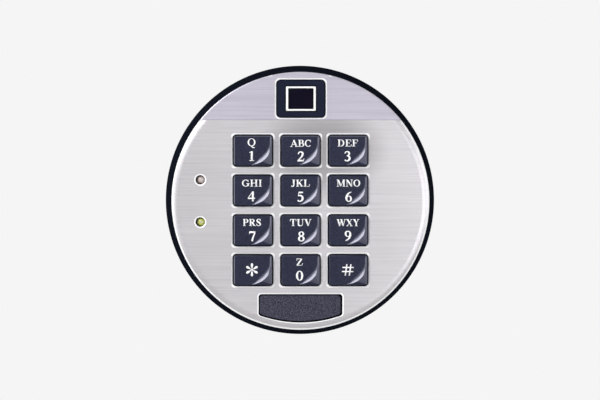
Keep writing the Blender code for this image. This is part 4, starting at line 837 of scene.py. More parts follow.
def scoop():
    """The cutter of a cap's top: level, and swept up towards the lower right corner."""
    left, low = SCOOP_CORNER
    columns = round((KEY_WIDTH / 2 + 0.3 - left) / SCOOP_STEP) + 2
    rows = round((KEY_HEIGHT / 2 + 0.3 - low) / SCOOP_STEP) + 2
    bpy.ops.mesh.primitive_grid_add(x_subdivisions=columns, y_subdivisions=rows, size=2)
    cutter = bpy.context.object
    for vert in cutter.data.vertices:
        column = round((vert.co.x + 1) / 2 * columns)
        row = round((vert.co.y + 1) / 2 * rows)
        x = left + (column - 1) * SCOOP_STEP
        y = low + (row - 1) * SCOOP_STEP
        if column in (0, columns):
            x = math.copysign(SCOOP_REACH, column - 1)
        if row in (0, rows):
            y = math.copysign(SCOOP_REACH, row - 1)
        vert.co = (x, y, KEY_FLOOR + swept_height(Vector((x, y))))
    pick(cutter, "FACE", lambda face: True)
    bpy.ops.mesh.extrude_region_move(TRANSFORM_OT_translate={"value": (0, 0, SCOOP_DEPTH)})
    bpy.ops.mesh.select_all(action="SELECT")
    bpy.ops.mesh.normals_make_consistent(inside=False)
    close_edit()
    return cutter


def key_cap():
    """One cap at the middle of the face, sculpted, flanged and hollowed."""
    half_x = KEY_WIDTH / 2
    half_y = KEY_HEIGHT / 2
    cap = box("key_cap", (KEY_WIDTH, KEY_HEIGHT), FLANGE_BACK, KEY_FLOOR + 1.0, (0, 0), KEY_CORNER, steps=8)
    shave(cap, (-half_x, 0, KEY_FLOOR - EDGE_DROP), (-1, 0, 1))
    shave(cap, (0, half_y, KEY_FLOOR - EDGE_DROP), (0, 1, 1))
    shave(cap, (half_x, 0, KEY_FLOOR + EDGE_STEP), (EDGE_FALL, 0, 1))
    shave(cap, (0, -half_y, KEY_FLOOR + EDGE_STEP), (0, -EDGE_FALL, 1))
    crest = KEY_FLOOR + CREST_HEIGHT
    past = 8.0
    cone = [(0.05, crest + CREST_FALL * CREST_RADIUS), (CREST_RADIUS + past, crest - CREST_FALL * past)]
    cone.append((CREST_RADIUS + past, crest + past / 2))
    cut(cap, scoop(), turned("outer_cone", cone, 160, CREST_CENTRE))
    soften(cap, 0.09, 2, 14.0)
    join(cap, box("key_flange", (KEY_WIDTH + 1.8, KEY_HEIGHT + 1.8), FLANGE_BACK, 31.1, corner=0.6))
    cut(cap, box("key_hollow", (KEY_WIDTH - 2.6, KEY_HEIGHT - 2.6), FLANGE_BACK - 1, KEY_FLOOR - 1.6))
    return smooth(join(cap, rod("plunger", 2.5, FLANGE_BACK, KEY_FLOOR - 1.0, sides=24)), 30.0)


def polish(piece, finish, test):
    """Gives the faces that pass a test one more material."""
    piece.data.materials.append(finish.material)
    for face in piece.data.polygons:
        if test(face):
            face.material_index = len(piece.data.materials) - 1


def is_leaning(face):
    """Whether a face of a seated cap leans to the left or upwards, as the sweep does."""
    return -0.99 < face.normal.y < -0.3 and face.normal.z > -0.1 and face.normal.x < 0.05


def is_outer(face):
    """Whether a face of a seated cap falls gently to the right, as all does beyond the crest."""
    return -0.995 < face.normal.y < -0.85 and face.normal.x > 0.01


def copied(first, name, place):
    """A copy of a piece with its own mesh, moved across the face."""
    alone(first)
    bpy.ops.object.duplicate()
    bpy.context.object.name = name
    return moved(bpy.context.object, Matrix.Translation((*place, 0)))


slate = slate_plastic("key_plastic", 0.34, 0.25)
bluish = (0.86, 0.86, 1.0, 1.0)
worn_slate = slate_plastic("key_corner", 0.34, 1.0, 1.45, bluish)
polished_slate = slate_plastic("key_polish", 0.22, 1.0, 1.64, bluish)
first_cap = key_cap()
for key, place in zip(KEY_NAMES, KEY_PLACES):
    cap = copied(first_cap, f"cap_{key}", place)
    seat(cap, slate, f"key_{key}", "key_plastic", f"key_{key}")
    polish(cap, polished_slate, is_leaning)
    polish(cap, worn_slate, is_outer)
bpy.data.objects.remove(first_cap)


# Legends. White characters printed on the keys, in a bold face with slab serifs: the usual
# letters over each number. They are generic, and each is drawn here from a few pen strokes.
THICK = 0.11
THIN = 0.04
LOW = THIN
HIGH = 1 - THIN


def pen(*points):
    """A curved stroke through (x, y, half width) points, in heights of a capital."""
    return ("curve", points)


def bar(x0, y0, x1, y1, half=THIN):
    return ("line", ((x0, y0, half), (x1, y1, half)))


def arm(x0, x1, y, half=THIN):
    return bar(x0, y, x1, y, half)


def foot(x, half=0.2):
    """The slab serif at the lower end of a stroke, as head() is at the upper one."""
    return arm(x - half, x + half, LOW)


def head(x, half=0.2):
    return arm(x - half, x + half, HIGH)


def stem(x):
    return [bar(x, 0.0, x, 1.0, THICK), foot(x), head(x)]


def bowl(x, y, wide, high, start=90, end=-90, thick=THICK, thin=THIN):
    """An arc that is thick where it runs upright. A whole turn closes it."""
    whole = abs(end - start) == 360
    steps = 28 if whole else 14
    points = []
    for step in range(steps if whole else steps + 1):
        turn = math.radians(start + (end - start) * step / steps)
        half = thin + (thick - thin) * math.cos(turn) ** 2
        points.append((x + wide * math.cos(turn), y + high * math.sin(turn), half))
    return ("ring" if whole else "line", points)


def beak(x, y0, y1):
    """The short upright spur that ends a thin arm."""
    return ("line", ((x, y0, 0.028), (x, y1, 0.045)))


# Each character's advance and its strokes, in heights of a capital.
GLYPHS = {
    "A": (1.06, [
        bar(0.13, 0.02, 0.5, 0.97), bar(0.47, 0.97, 0.87, 0.02, THICK), arm(0.24, 0.72, 0.33),
        foot(0.13, 0.15), foot(0.87),
    ]),
    "B": (0.96, [
        *stem(0.26), arm(0.26, 0.5, HIGH), bowl(0.5, 0.75, 0.22, 0.21), arm(0.26, 0.55, 0.53),
        bowl(0.54, 0.285, 0.27, 0.245), arm(0.26, 0.54, LOW),
    ]),
    "C": (0.98, [bowl(0.53, 0.5, 0.4, 0.46, 42, 318), beak(0.85, 0.99, 0.64)]),
    "D": (1.06, [*stem(0.26), arm(0.26, 0.45, HIGH), bowl(0.45, 0.5, 0.42, 0.46), arm(0.26, 0.45, LOW)]),
    "E": (0.94, [
        *stem(0.26), arm(0.26, 0.8, HIGH), arm(0.26, 0.84, LOW), arm(0.26, 0.6, 0.51), beak(0.8, 0.98, 0.7),
        beak(0.85, 0.02, 0.32), bar(0.6, 0.66, 0.6, 0.36, 0.03),
    ]),
    "F": (0.88, [
        *stem(0.26), arm(0.26, 0.79, HIGH), arm(0.26, 0.58, 0.51), beak(0.79, 0.98, 0.68),
        bar(0.58, 0.66, 0.58, 0.36, 0.03),
    ]),
    "G": (1.08, [
        bowl(0.53, 0.5, 0.4, 0.46, 42, 322), beak(0.85, 0.99, 0.66), bar(0.86, 0.08, 0.86, 0.42, THICK),
        arm(0.62, 1.06, 0.43),
    ]),
    "H": (1.14, [*stem(0.26), *stem(0.86), arm(0.26, 0.86, 0.51)]),
    "I": (0.52, stem(0.26)),
    "J": (0.72, [
        bar(0.44, 0.22, 0.44, 1.0, THICK), head(0.44),
        pen((0.44, 0.24, THICK), (0.38, 0.07, 0.08), (0.22, 0.03, 0.05), (0.12, 0.14, 0.09)),
    ]),
    "K": (1.08, [
        *stem(0.26), bar(0.32, 0.4, 0.82, 0.94), head(0.82, 0.16), bar(0.46, 0.6, 0.88, 0.03, THICK),
        foot(0.87),
    ]),
    "L": (0.9, [*stem(0.26), arm(0.26, 0.82, LOW), beak(0.83, 0.02, 0.34)]),
    "M": (1.36, [
        bar(0.2, 0.0, 0.2, 1.0), foot(0.2, 0.15), head(0.16, 0.12), bar(0.26, 0.95, 0.64, 0.06, THICK),
        bar(0.64, 0.06, 1.02, 0.95), *stem(1.09),
    ]),
    "N": (1.12, [
        bar(0.2, 0.0, 0.2, 1.0), foot(0.2, 0.15), head(0.16, 0.12), bar(0.24, 0.94, 0.86, 0.06, THICK),
        bar(0.9, 0.0, 0.9, 1.0), head(0.9, 0.15),
    ]),
    "O": (1.06, [bowl(0.53, 0.5, 0.4, 0.46, 0, 360)]),
    "P": (0.94, [*stem(0.26), arm(0.26, 0.5, HIGH), bowl(0.5, 0.725, 0.26, 0.235), arm(0.26, 0.5, 0.49)]),
    "Q": (1.06, [
        bowl(0.53, 0.59, 0.43, 0.52, 0, 360),
        pen((0.5, 0.06, 0.05), (0.62, -0.08, 0.09), (0.8, -0.17, 0.07), (0.98, -0.16, 0.03)),
    ]),
    "R": (1.06, [
        *stem(0.26), arm(0.26, 0.5, HIGH), bowl(0.5, 0.735, 0.25, 0.225), arm(0.26, 0.5, 0.51),
        bar(0.5, 0.5, 0.84, 0.03, THICK), foot(0.87),
    ]),
    "S": (0.82, [
        pen(
            (0.66, 0.74, 0.035), (0.58, 0.92, 0.04), (0.38, 0.965, 0.045), (0.2, 0.86, 0.08),
            (0.22, 0.67, 0.11), (0.42, 0.53, 0.125), (0.62, 0.37, 0.11), (0.65, 0.17, 0.085),
            (0.45, 0.035, 0.045), (0.24, 0.07, 0.04), (0.14, 0.28, 0.035),
        ),
        beak(0.67, 0.99, 0.7), beak(0.13, 0.01, 0.32),
    ]),
    "T": (0.98, [
        bar(0.49, 0.0, 0.49, 1.0, THICK), foot(0.49), arm(0.08, 0.9, HIGH), beak(0.08, 0.98, 0.68),
        beak(0.9, 0.98, 0.68),
    ]),
    "U": (1.1, [
        bar(0.26, 0.3, 0.26, 1.0, THICK), head(0.26),
        pen(
            (0.26, 0.32, THICK), (0.32, 0.12, 0.1), (0.54, 0.035, 0.055), (0.78, 0.12, 0.04),
            (0.86, 0.34, THIN),
        ),
        bar(0.86, 0.3, 0.86, 1.0), head(0.86, 0.15),
    ]),
    "V": (1.08, [
        bar(0.22, 0.97, 0.56, 0.04, THICK), bar(0.55, 0.02, 0.88, 0.97), head(0.22), head(0.88, 0.15),
    ]),
    "W": (1.5, [
        bar(0.2, 0.97, 0.48, 0.04, THICK), bar(0.47, 0.02, 0.76, 0.9), bar(0.72, 0.97, 1.02, 0.04, THICK),
        bar(1.01, 0.02, 1.32, 0.97), head(0.2), head(0.72), head(1.32, 0.14),
    ]),
    "X": (1.08, [
        bar(0.22, 0.97, 0.84, 0.03, THICK), bar(0.18, 0.03, 0.84, 0.97), head(0.22), head(0.84, 0.15),
        foot(0.18, 0.15), foot(0.84),
    ]),
    "Y": (1.06, [
        bar(0.21, 0.97, 0.53, 0.46, THICK), bar(0.53, 0.46, 0.85, 0.97), bar(0.53, 0.0, 0.53, 0.5, THICK),
        head(0.21), head(0.85, 0.15), foot(0.53),
    ]),
    "Z": (0.94, [
        arm(0.12, 0.8, HIGH), beak(0.12, 0.98, 0.68), bar(0.76, 0.94, 0.16, 0.06, THICK),
        arm(0.1, 0.84, LOW), beak(0.84, 0.02, 0.32),
    ]),
    "0": (0.76, [bowl(0.38, 0.5, 0.262, 0.455, 0, 360, 0.108, 0.045)]),
    "1": (0.62, [
        bar(0.36, 0.0, 0.36, 0.97, 0.1), arm(0.14, 0.58, 0.035),
        ("line", ((0.1, 0.82, 0.02), (0.36, 0.93, 0.07))),
    ]),
    "2": (0.76, [
        pen(
            (0.12, 0.72, 0.05), (0.2, 0.9, 0.06), (0.38, 0.95, 0.055), (0.56, 0.85, 0.095),
            (0.55, 0.64, 0.1), (0.38, 0.38, 0.06), (0.1, 0.09, 0.04),
        ),
        arm(0.06, 0.64, 0.08, 0.085), ("line", ((0.62, 0.06, 0.05), (0.71, 0.3, 0.022))),
    ]),
    "3": (0.74, [
        pen(
            (0.1, 0.76, 0.04), (0.2, 0.92, 0.055), (0.36, 0.96, 0.05), (0.53, 0.84, 0.09),
            (0.5, 0.64, 0.075), (0.3, 0.53, 0.035),
        ),
        pen(
            (0.3, 0.54, 0.04), (0.5, 0.48, 0.075), (0.59, 0.28, 0.11), (0.46, 0.08, 0.08),
            (0.26, 0.035, 0.05), (0.1, 0.13, 0.08),
        ),
    ]),
    "4": (0.78, [
        bar(0.52, 0.0, 0.52, 0.99, 0.1), bar(0.48, 0.95, 0.05, 0.33, 0.035), arm(0.03, 0.75, 0.3, 0.065),
    ]),
    "5": (0.76, [
        arm(0.2, 0.64, 0.91, 0.08), bar(0.22, 0.95, 0.15, 0.56, 0.035),
        pen(
            (0.14, 0.56, 0.04), (0.36, 0.61, 0.075), (0.56, 0.47, 0.1), (0.59, 0.27, 0.11),
            (0.45, 0.08, 0.07), (0.24, 0.035, 0.05), (0.1, 0.13, 0.08),
        ),
    ]),
    "6": (0.76, [
        pen(
            (0.64, 0.97, 0.025), (0.4, 0.87, 0.06), (0.2, 0.62, 0.1), (0.14, 0.34, 0.105),
            (0.24, 0.08, 0.06), (0.4, 0.035, 0.045), (0.56, 0.12, 0.08), (0.6, 0.31, 0.1),
            (0.53, 0.5, 0.06), (0.38, 0.56, 0.035), (0.2, 0.44, 0.035),
        ),
    ]),
    "7": (0.72, [
        arm(0.08, 0.66, 0.9, 0.09), ("line", ((0.08, 0.95, 0.035), (0.05, 0.68, 0.02))),
        pen((0.63, 0.86, 0.05), (0.5, 0.56, 0.07), (0.4, 0.3, 0.085), (0.34, 0.0, 0.09)),
    ]),
    "8": (0.76, [
        bowl(0.38, 0.755, 0.2, 0.2, 0, 360, 0.09, 0.045),
        bowl(0.38, 0.275, 0.24, 0.235, 0, 360, 0.1, 0.045),
    ]),
}
six_width, six = GLYPHS["6"]
turned_six = [(kind, [(six_width - x, 1 - y, half) for x, y, half in points]) for kind, points in six]
GLYPHS["9"] = (six_width, turned_six)
# The star has six petals, each given by distances from its middle and half widths.
PETAL = ((0.02, 0.03), (0.13, 0.03), (0.26, 0.075), (0.38, 0.1), (0.46, 0.085), (0.52, 0.035))
GLYPHS["star"] = (0.0, [
    ("line", [(out * math.cos(turn), 0.5 + out * math.sin(turn), half) for out, half in PETAL])
    for turn in (math.radians(30 + 60 * petal) for petal in range(6))
])
GLYPHS["hash"] = (0.0, [
    bar(-0.22, 0.0, -0.09, 0.91, 0.05), bar(0.1, 0.0, 0.23, 0.91, 0.05),
    bar(-0.44, 0.65, 0.46, 0.65, 0.05), bar(-0.48, 0.33, 0.42, 0.33, 0.05),
])
# Each key's letters and how wide they run, then how far letters and number stand off their places.
LEGENDS = {
    "1": ("Q", 1.06, (-0.5, 0.12), (-0.6, 0.1)),
    "2": ("ABC", 1.0, (0.15, 0.0), (0.1, -0.1)),
    "3": ("DEF", 1.04, (-0.15, 0.1), (-0.25, 0.0)),
    "4": ("GHI", 1.07, (-0.35, 0.0), (-0.5, -0.1)),
    "5": ("JKL", 1.02, (-0.1, 0.0), (0.0, -0.2)),
    "6": ("MNO", 0.965, (0.1, 0.0), (0.25, -0.25)),
    "7": ("PRS", 0.945, (-0.35, 0.2), (-0.2, -0.1)),
    "8": ("TUV", 1.0, (0.1, 0.15), (0.3, -0.2)),
    "9": ("WXY", 0.9, (0.0, 0.1), (-0.1, 0.0)),
    "star": ("", 1.0, (0.0, 0.0), (-0.35, 0.15)),
    "0": ("Z", 1.08, (-0.4, 0.3), (-0.35, 0.0)),
    "hash": ("", 1.0, (0.0, 0.0), (-0.05, 0.3)),
}
CAPITAL_HEIGHT = 2.65
NUMBER_HEIGHT = 3.8
SIGN_HEIGHT = 4.8
LETTER_Y = 2.8
NUMBER_Y = -2.1
INK_SHARE = 0.09


def legend_paint():
    """Thick white printing ink, very slightly uneven."""
    finish = Finish("legend_ink", (0.93, 0.93, 0.94), 0.5)
    cloud = finish.noise(1500.0)
    return finish.coat(cloud, (0.90, 0.90, 0.91), (0.96, 0.96, 0.97), cloud, 0.42, 0.15, 0.00001)


def text_strokes(text, height, x, y, stretch=1.0):
    """The strokes of a line of characters, in millimetres, centred on a place on the face."""
    wide = stretch * height
    left = x - sum(GLYPHS[character][0] for character in text) * wide / 2
    strokes = []
    for character in text:
        advance, drawn = GLYPHS[character]
        for kind, points in drawn:
            sized = [(left + px * wide, y + (py - 0.5) * height, half * height) for px, py, half in points]
            strokes.append((kind, sized))
        left += advance * wide
    return strokes


def inked(name, strokes, cap):
    """Strokes as raised ink that follows the top of a key's cap."""
    curve = bpy.data.curves.new(name, "CURVE")
    curve.dimensions = "3D"
    curve.bevel_depth = 1.0
    curve.bevel_resolution = 2
    curve.resolution_u = 6
    curve.use_fill_caps = True
    curve.twist_mode = "Z_UP"
    for kind, points in strokes:
        line = curve.splines.new("BEZIER" if kind == "curve" else "POLY")
        knots = line.bezier_points if kind == "curve" else line.points
        knots.add(len(points) - 1)
        for knot, (x, y, half) in zip(knots, points):
            if kind == "curve":
                knot.co = (x, y, 0)
                knot.handle_left_type = knot.handle_right_type = "AUTO"
            else:
                knot.co = (x, y, 0, 1)
            knot.radius = half
        line.use_cyclic_u = kind == "ring"
    made = meshed(curve, merge=0.0005)
    for vert in made.data.vertices:
        above = Vector((vert.co.x / 1000, -0.06, vert.co.y / 1000))
        found, place, _, _ = cap.ray_cast(above, Vector((0, 1, 0)))
        vert.co.z = INK_SHARE * vert.co.z + (-place.y * 1000 if found else KEY_FLOOR)
    bpy.ops.object.shade_smooth()
    return made


ink = legend_paint()
for key, (x, y) in zip(KEY_NAMES, KEY_PLACES):
    letters, stretch, (shift, lift), (right, up) = LEGENDS[key]
    if letters:
        strokes = text_strokes(letters, CAPITAL_HEIGHT, x + shift, y + lift + LETTER_Y, stretch)
        strokes += text_strokes(key, NUMBER_HEIGHT, x + right, y + up + NUMBER_Y)
    else:
        strokes = text_strokes((key,), SIGN_HEIGHT, x + right, y + up)
    legend = inked(f"legend_{key}", strokes, bpy.data.objects[f"cap_{key}"])
    seat(legend, ink, f"key_{key}", "key_plastic")


# Face plates. Two pieces of satin aluminium brushed straight across: the lower one, with a rounded
# rim and the keys' openings, and the upper one, which falls back from the seam to the rim.
# The chamfers round the openings and the rim's steep outer edge are finished near white: a painted
# highlight, seen as thin white lines.
def brushed_aluminium(name, colour, roughness=0.36, painted_reflection=0.0):
    """Satin metal brushed along X, darkened by a share round the top keys: a painted dark reflection and
    shade.
    """
    finish = Finish(name, colour, roughness, Metallic=1.0)
    fine = finish.noise(9000.0, 2.0, (0.006, 1.0, 1.0))
    broad = finish.noise(1500.0, 3.0, (0.012, 1.0, 1.0))
    cloud = finish.noise(28.0, 2.0)
    streak = fine * 0.6 + broad * 0.4
    dark = tuple(0.86 * part for part in colour)
    pale = tuple(min(1.0, 1.10 * part) for part in colour)
    tint = finish.mix((streak * 0.8 + cloud * 0.2).step(0.3, 0.7), dark, pale)
    # Painted reflection and shade: a soft dark patch round the top keys, darkest at its middle.
    if painted_reflection:
        across = (finish.axis(0) - 0.0085) / 0.024
        up = (finish.axis(2) - 0.019) / 0.017
        painted_reflection_share = (across * across + up * up).step(1.3, 0.0) * painted_reflection
        tint = finish.mix(painted_reflection_share, tint, tuple(0.3 * part for part in colour))
    return finish.vary(
        Base_Color=tint,
        Roughness=roughness - 0.06 + 0.14 * streak,
        height=streak,
        depth=0.00001,
        strength=0.35,
    )


def highlight_paint():
    """A painted highlight for chamfers and rounded edges: near white and slightly frosted."""
    finish = Finish("highlight_paint", (0.93, 0.93, 0.94), 0.4, Metallic=0.15)
    chatter = finish.noise(4000.0, 2.0)
    return finish.vary(Roughness=0.35 + 0.1 * chatter, height=chatter, depth=0.000005)


FACE_RADIUS = 49.0
FACE_BACK = 33.5
FACE_FRONT = 36.0
SEAM_Y = 30.7
SEAM_GAP = 0.08
FACE_KEY_GAP = 0.5
CHAMFER_WIDTH = 0.5
CHAMFER_DEPTH = 0.2
LED_HOLE = 1.8
LED_CHAMFER = 0.5
RIM_ROUND = (3.0, 1.8)
RIM_START = 0.0469
INLAY_HALF = 15.6
INLAY_TOP = -35.7
INLAY_FOOT = 45.9
INLAY_CORNER = 1.1
INLAY_PLAY = 0.3
RECESS_DEPTH = 1.1


def inlay_outline(play):
    """A straight top, short sides and a foot that follows the rim."""
    side = INLAY_HALF + play - INLAY_CORNER
    reach = INLAY_FOOT + play
    low = -math.sqrt((reach - INLAY_CORNER) ** 2 - side**2)
    turn = math.degrees(math.atan2(low, side))
    top = INLAY_TOP + play - INLAY_CORNER
    return [
        *arc((side, top), INLAY_CORNER, 90, 0, 8),
        *arc((side, low), INLAY_CORNER, 0, turn, 8),
        *arc((0.0, 0.0), reach, turn, -180 - turn, 48)[1:-1],
        *arc((-side, low), INLAY_CORNER, -180 - turn, -180, 8),
        *arc((-side, top), INLAY_CORNER, 180, 90, 8),
    ]


# The lower plate carries the painted dark reflection and shade round its top keys.
aluminium = brushed_aluminium("brushed_aluminium", (0.560, 0.543, 0.567), painted_reflection=0.58)
# A near-white finish for edges: a painted highlight.
painted_highlight = highlight_paint()
rim = rounded(FACE_RADIUS, FACE_FRONT, *RIM_ROUND, 12)
face = turned("lower_plate", [(FACE_RADIUS, FACE_BACK), *rim], sides=256)
cut(face, box("above_seam", (110.0, 40.0), 30.0, 40.0, (0.0, SEAM_Y - SEAM_GAP / 2 + 20.0)))
cut(face, *key_cutters(FACE_KEY_GAP, FACE_BACK - 1, FACE_FRONT + 1))
funnel_back = FACE_FRONT - 2 * CHAMFER_DEPTH
funnel_front = FACE_FRONT + CHAMFER_DEPTH
cut(face, *key_cutters(FACE_KEY_GAP - CHAMFER_WIDTH, funnel_back, funnel_front, 3 * CHAMFER_WIDTH))
hole = [(LED_HOLE, FACE_BACK - 1), (LED_HOLE, FACE_FRONT - CHAMFER_DEPTH)]
hole.append((LED_HOLE + 2 * LED_CHAMFER, funnel_front))
for y in (-LED_Y, LED_Y):
    cut(face, turned("led_hole", hole, 48, (LED_X, y)))
cut(face, flat_form("inlay_recess", inlay_outline(INLAY_PLAY), FACE_FRONT - RECESS_DEPTH, FACE_FRONT + 1.0))
funnel_foot = inlay_outline(INLAY_PLAY - CHAMFER_WIDTH)
inlay_funnel = flat_form("inlay_funnel", funnel_foot, funnel_back, funnel_front)
pick(inlay_funnel, "VERT", lambda vert: vert.co.z > FACE_FRONT)
inlay_height = INLAY_FOOT + INLAY_TOP
inlay_middle = (INLAY_TOP - INLAY_FOOT) / 2
wider = (1 + 3 * CHAMFER_WIDTH / INLAY_HALF, 1 + 6 * CHAMFER_WIDTH / inlay_height, 1)
bpy.ops.transform.resize(value=wider, center_override=(0, inlay_middle, 0))
close_edit()
cut(face, inlay_funnel)
for place in FACE_STUDS:
    join(face, rod("stud", 1.5, FACE_BACK - 5.2, FACE_BACK + 1, place, 32))
smooth(face, 20.0)
seat(face, aluminium, "pad", "brushed_face", "face_plate")
FRONT_Y = -FACE_FRONT / 1000


# These tests tell the faces of a seated plate apart, so they and RIM_START are in metres.
def off_middle(face):
    return math.hypot(face.center.x, face.center.z)


def is_sloped(face):
    return -0.97 < face.normal.y < -0.45


def is_chamfer(face):
    """Whether a face leans towards an opening, near the front and inside the rim."""
    return is_sloped(face) and off_middle(face) < RIM_START and face.center.y < FRONT_Y + 0.0007


def is_rim_edge(face):
    """Whether a face is on the steep outer part of the rounded rim."""
    return off_middle(face) > RIM_START + 0.0006 and -0.82 < face.normal.y < -0.2


def is_recess(face):
    """Whether a face lies down in the inlay's recess, which is painted black as painted shade."""
    at_foot = abs(face.center.x) < 0.0165 and face.center.z < -0.035 and off_middle(face) < RIM_START
    return at_foot and FRONT_Y + 0.0003 < face.center.y < FRONT_Y + 0.0012


# The chamfers and the rim's steep outer edge get the near-white finish, a painted highlight.
polish(face, painted_highlight, lambda face: is_chamfer(face) or is_rim_edge(face))
# The recess is painted black: painted shade in the gap round the inlay.
polish(face, black, is_recess)

SLOPE = math.tan(math.radians(4.0))
SLOPE_FRONT = 35.7
UPPER_RIM_ROUND = (0.45, 0.35)


def lean(piece):
    """Tips what lies in front of a piece's back to the slope of the upper plate."""
    for vert in piece.data.vertices:
        if vert.co.z > FACE_BACK + 1.0:
            vert.co.z -= (vert.co.y - SEAM_Y) * SLOPE
    return piece


def is_cut_edge(face):
    """Whether a face is on the bright edge of the sensor's opening."""
    at_sensor = abs(face.center.x) < 0.012 and 0.0308 < face.center.z < 0.0475
    return at_sensor and is_sloped(face) and face.center.y < -0.034


aluminium_tilted = brushed_aluminium("brushed_aluminium_upper", (0.495, 0.472, 0.545), 0.40)
upper_rim = rounded(FACE_RADIUS, SLOPE_FRONT, *UPPER_RIM_ROUND)
upper = lean(turned("upper_plate", [(FACE_RADIUS, FACE_BACK), *upper_rim], sides=256))
cut(upper, box("below_seam", (110.0, 90.0), 30.0, 45.0, (0.0, SEAM_Y + SEAM_GAP / 2 - 45.0)))
opening_size = (BEZEL_SIZE[0] + 0.7, BEZEL_SIZE[1] + 0.7)
sensor_place = (SENSOR_X, SENSOR_Y)
cut(upper, box("sensor_opening", opening_size, FACE_BACK - 1, SLOPE_FRONT + 1, sensor_place, corner=1.7))
funnel_levels = (SLOPE_FRONT - CHAMFER_DEPTH, SLOPE_FRONT + CHAMFER_DEPTH)
funnel = box("sensor_funnel", opening_size, *funnel_levels, sensor_place, 1.7, 2 * CHAMFER_WIDTH)
cut(upper, lean(funnel))
for place in SENSOR_STUDS:
    join(upper, rod("stud", 1.5, FACE_BACK - 5.2, FACE_BACK + 1, place, 32))
soften(upper, 0.12, 2, 40.0)
seat(upper, aluminium_tilted, "pad", "brushed_face", "sensor_plate")
# The sensor opening's chamfer gets the near-white finish too, a painted highlight.
polish(upper, painted_highlight, is_cut_edge)


# Inlay. A thin plate of grained dark plastic glued in the recess at the foot of the face, where
# such a unit carries a label. It is left bare.
def grained_inlay():
    """Charcoal plastic with a coarse leathery grain that sparkles a little."""
    finish = Finish("grained_inlay", (0.046, 0.046, 0.072), 0.5, Specular_IOR_Level=0.2)
    grain = finish.noise(1800.0, 3.0)
    specks = finish.node("ShaderNodeTexVoronoi", None, finish.place(), Scale=2300.0)
    leather = grain + specks * 0.4
    tint = finish.mix(leather.step(0.50, 0.95), (0.013, 0.013, 0.026), (0.074, 0.072, 0.108))
    return finish.vary(Base_Color=tint, Roughness=0.40 + 0.25 * grain, height=leather, depth=0.00006)


INLAY_EDGE = 0.42
INLAY_PROUD = 0.1
INLAY_SHIFT = (-0.15, 0.1, 0.0)
inlay_back = FACE_FRONT - RECESS_DEPTH + 0.15
inlay = flat_form("inlay", inlay_outline(-INLAY_EDGE), inlay_back, FACE_FRONT + INLAY_PROUD, INLAY_EDGE, 4)
smooth(moved(inlay, Matrix.Translation(INLAY_SHIFT)), 40.0)
seat(inlay, grained_inlay(), "pad", "inlay_grain", "label_inlay")
# The inlay's rounded edge and back are painted black: painted shade along the gap round it.
polish(inlay, black, lambda face: face.normal.y > -0.985)


# Lamps. Two 3 mm lamps on wire legs, soldered to the board: clear above and yellow green below.
# A cup with the light-emitting chip shows through each round top.
def lamp_lens(name, edge, middle, place, **constants):
    """Tinted resin, paler over the cup in its middle."""
    finish = Finish(name, edge, 0.12, **constants)
    out = finish.reach(place[0] / 1000, place[1] / 1000)
    cloud = finish.noise(2500.0)
    over_cup = (out + cloud * 0.0003).step(0.0012, 0.0005)
    return finish.coat(over_cup, edge, middle, cloud, 0.10, 0.08)


LAMP_FRONT = FACE_FRONT - 0.3
LAMP_BACK = LAMP_FRONT - 5.3
LAMP_DOME = 0.9
COLLAR_RADIUS = 1.9
LAMP_SHIFT = 0.38
LENS_RADIUS = 1.4
tinned = zinc_plate()
tinned.material.name = "tinned_wire"
for name, y, edge, middle, slot in (
    ("upper", LED_Y, (0.43, 0.33, 0.31), (0.50, 0.46, 0.45), "clear_lens"),
    ("lower", -LED_Y, (0.42, 0.45, 0.025), (0.50, 0.52, 0.28), "green_lens"),
):
    centre = (LED_X + LAMP_SHIFT, y)
    collar = [(COLLAR_RADIUS, LAMP_BACK), (COLLAR_RADIUS, LAMP_BACK + 1.0), (LENS_RADIUS, LAMP_BACK + 1.0)]
    dome = rounded(LENS_RADIUS, LAMP_FRONT, LENS_RADIUS, LAMP_DOME, 10)
    lens = turned(f"{name}_lens", collar + dome, 40, centre)
    shell = lamp_lens(f"{name}_resin", edge, middle, centre, Coat_Weight=0.6, Coat_Roughness=0.05)
    seat(smooth(lens, 40.0), shell, "pad", slot, f"{name}_led")
    legs = [
        box("leg", (0.5, 0.5), 24.0, LAMP_BACK + 0.2, (centre[0] + side * 1.27, y), corner=0.08, steps=2)
        for side in (-1, 1)
    ]
    seat(gather(f"{name}_legs", legs), tinned, "pad", "zinc_steel")


# Fingerprint sensor. A black moulded bezel in the upper plate holds a white frame, and the dark
# glass of the sensor lies just inside it.
def sensor_block(name, size, back, proud, corner=0.0, steps=6):
    return lean(box(name, size, back, SLOPE_FRONT + proud, sensor_place, corner=corner, steps=steps))


def white_frame():
    """White translucent plastic that lights up when the sensor reads."""
    finish = Finish("white_frame", (0.92, 0.92, 0.93), 0.35)
    cloud = finish.noise(800.0)
    return finish.coat(cloud, (0.88, 0.88, 0.90), (0.95, 0.95, 0.96), cloud, 0.30, 0.15)


def sensor_glass():
    """Dark coated glass, with the sensor's fine grid just showing under it."""
    finish = Finish("sensor_glass", (0.005, 0.004, 0.012), 0.16, Specular_IOR_Level=0.0)
    across, up = [(finish.axis(number) * (2 * math.pi / 0.0004)).sine() for number in (0, 2)]
    grid = across.step(0.7, 0.95).or_more(up.step(0.7, 0.95))
    cloud = finish.noise(600.0)
    return finish.coat(grid, (0.005, 0.004, 0.010), (0.011, 0.009, 0.021), cloud, 0.14, 0.06)


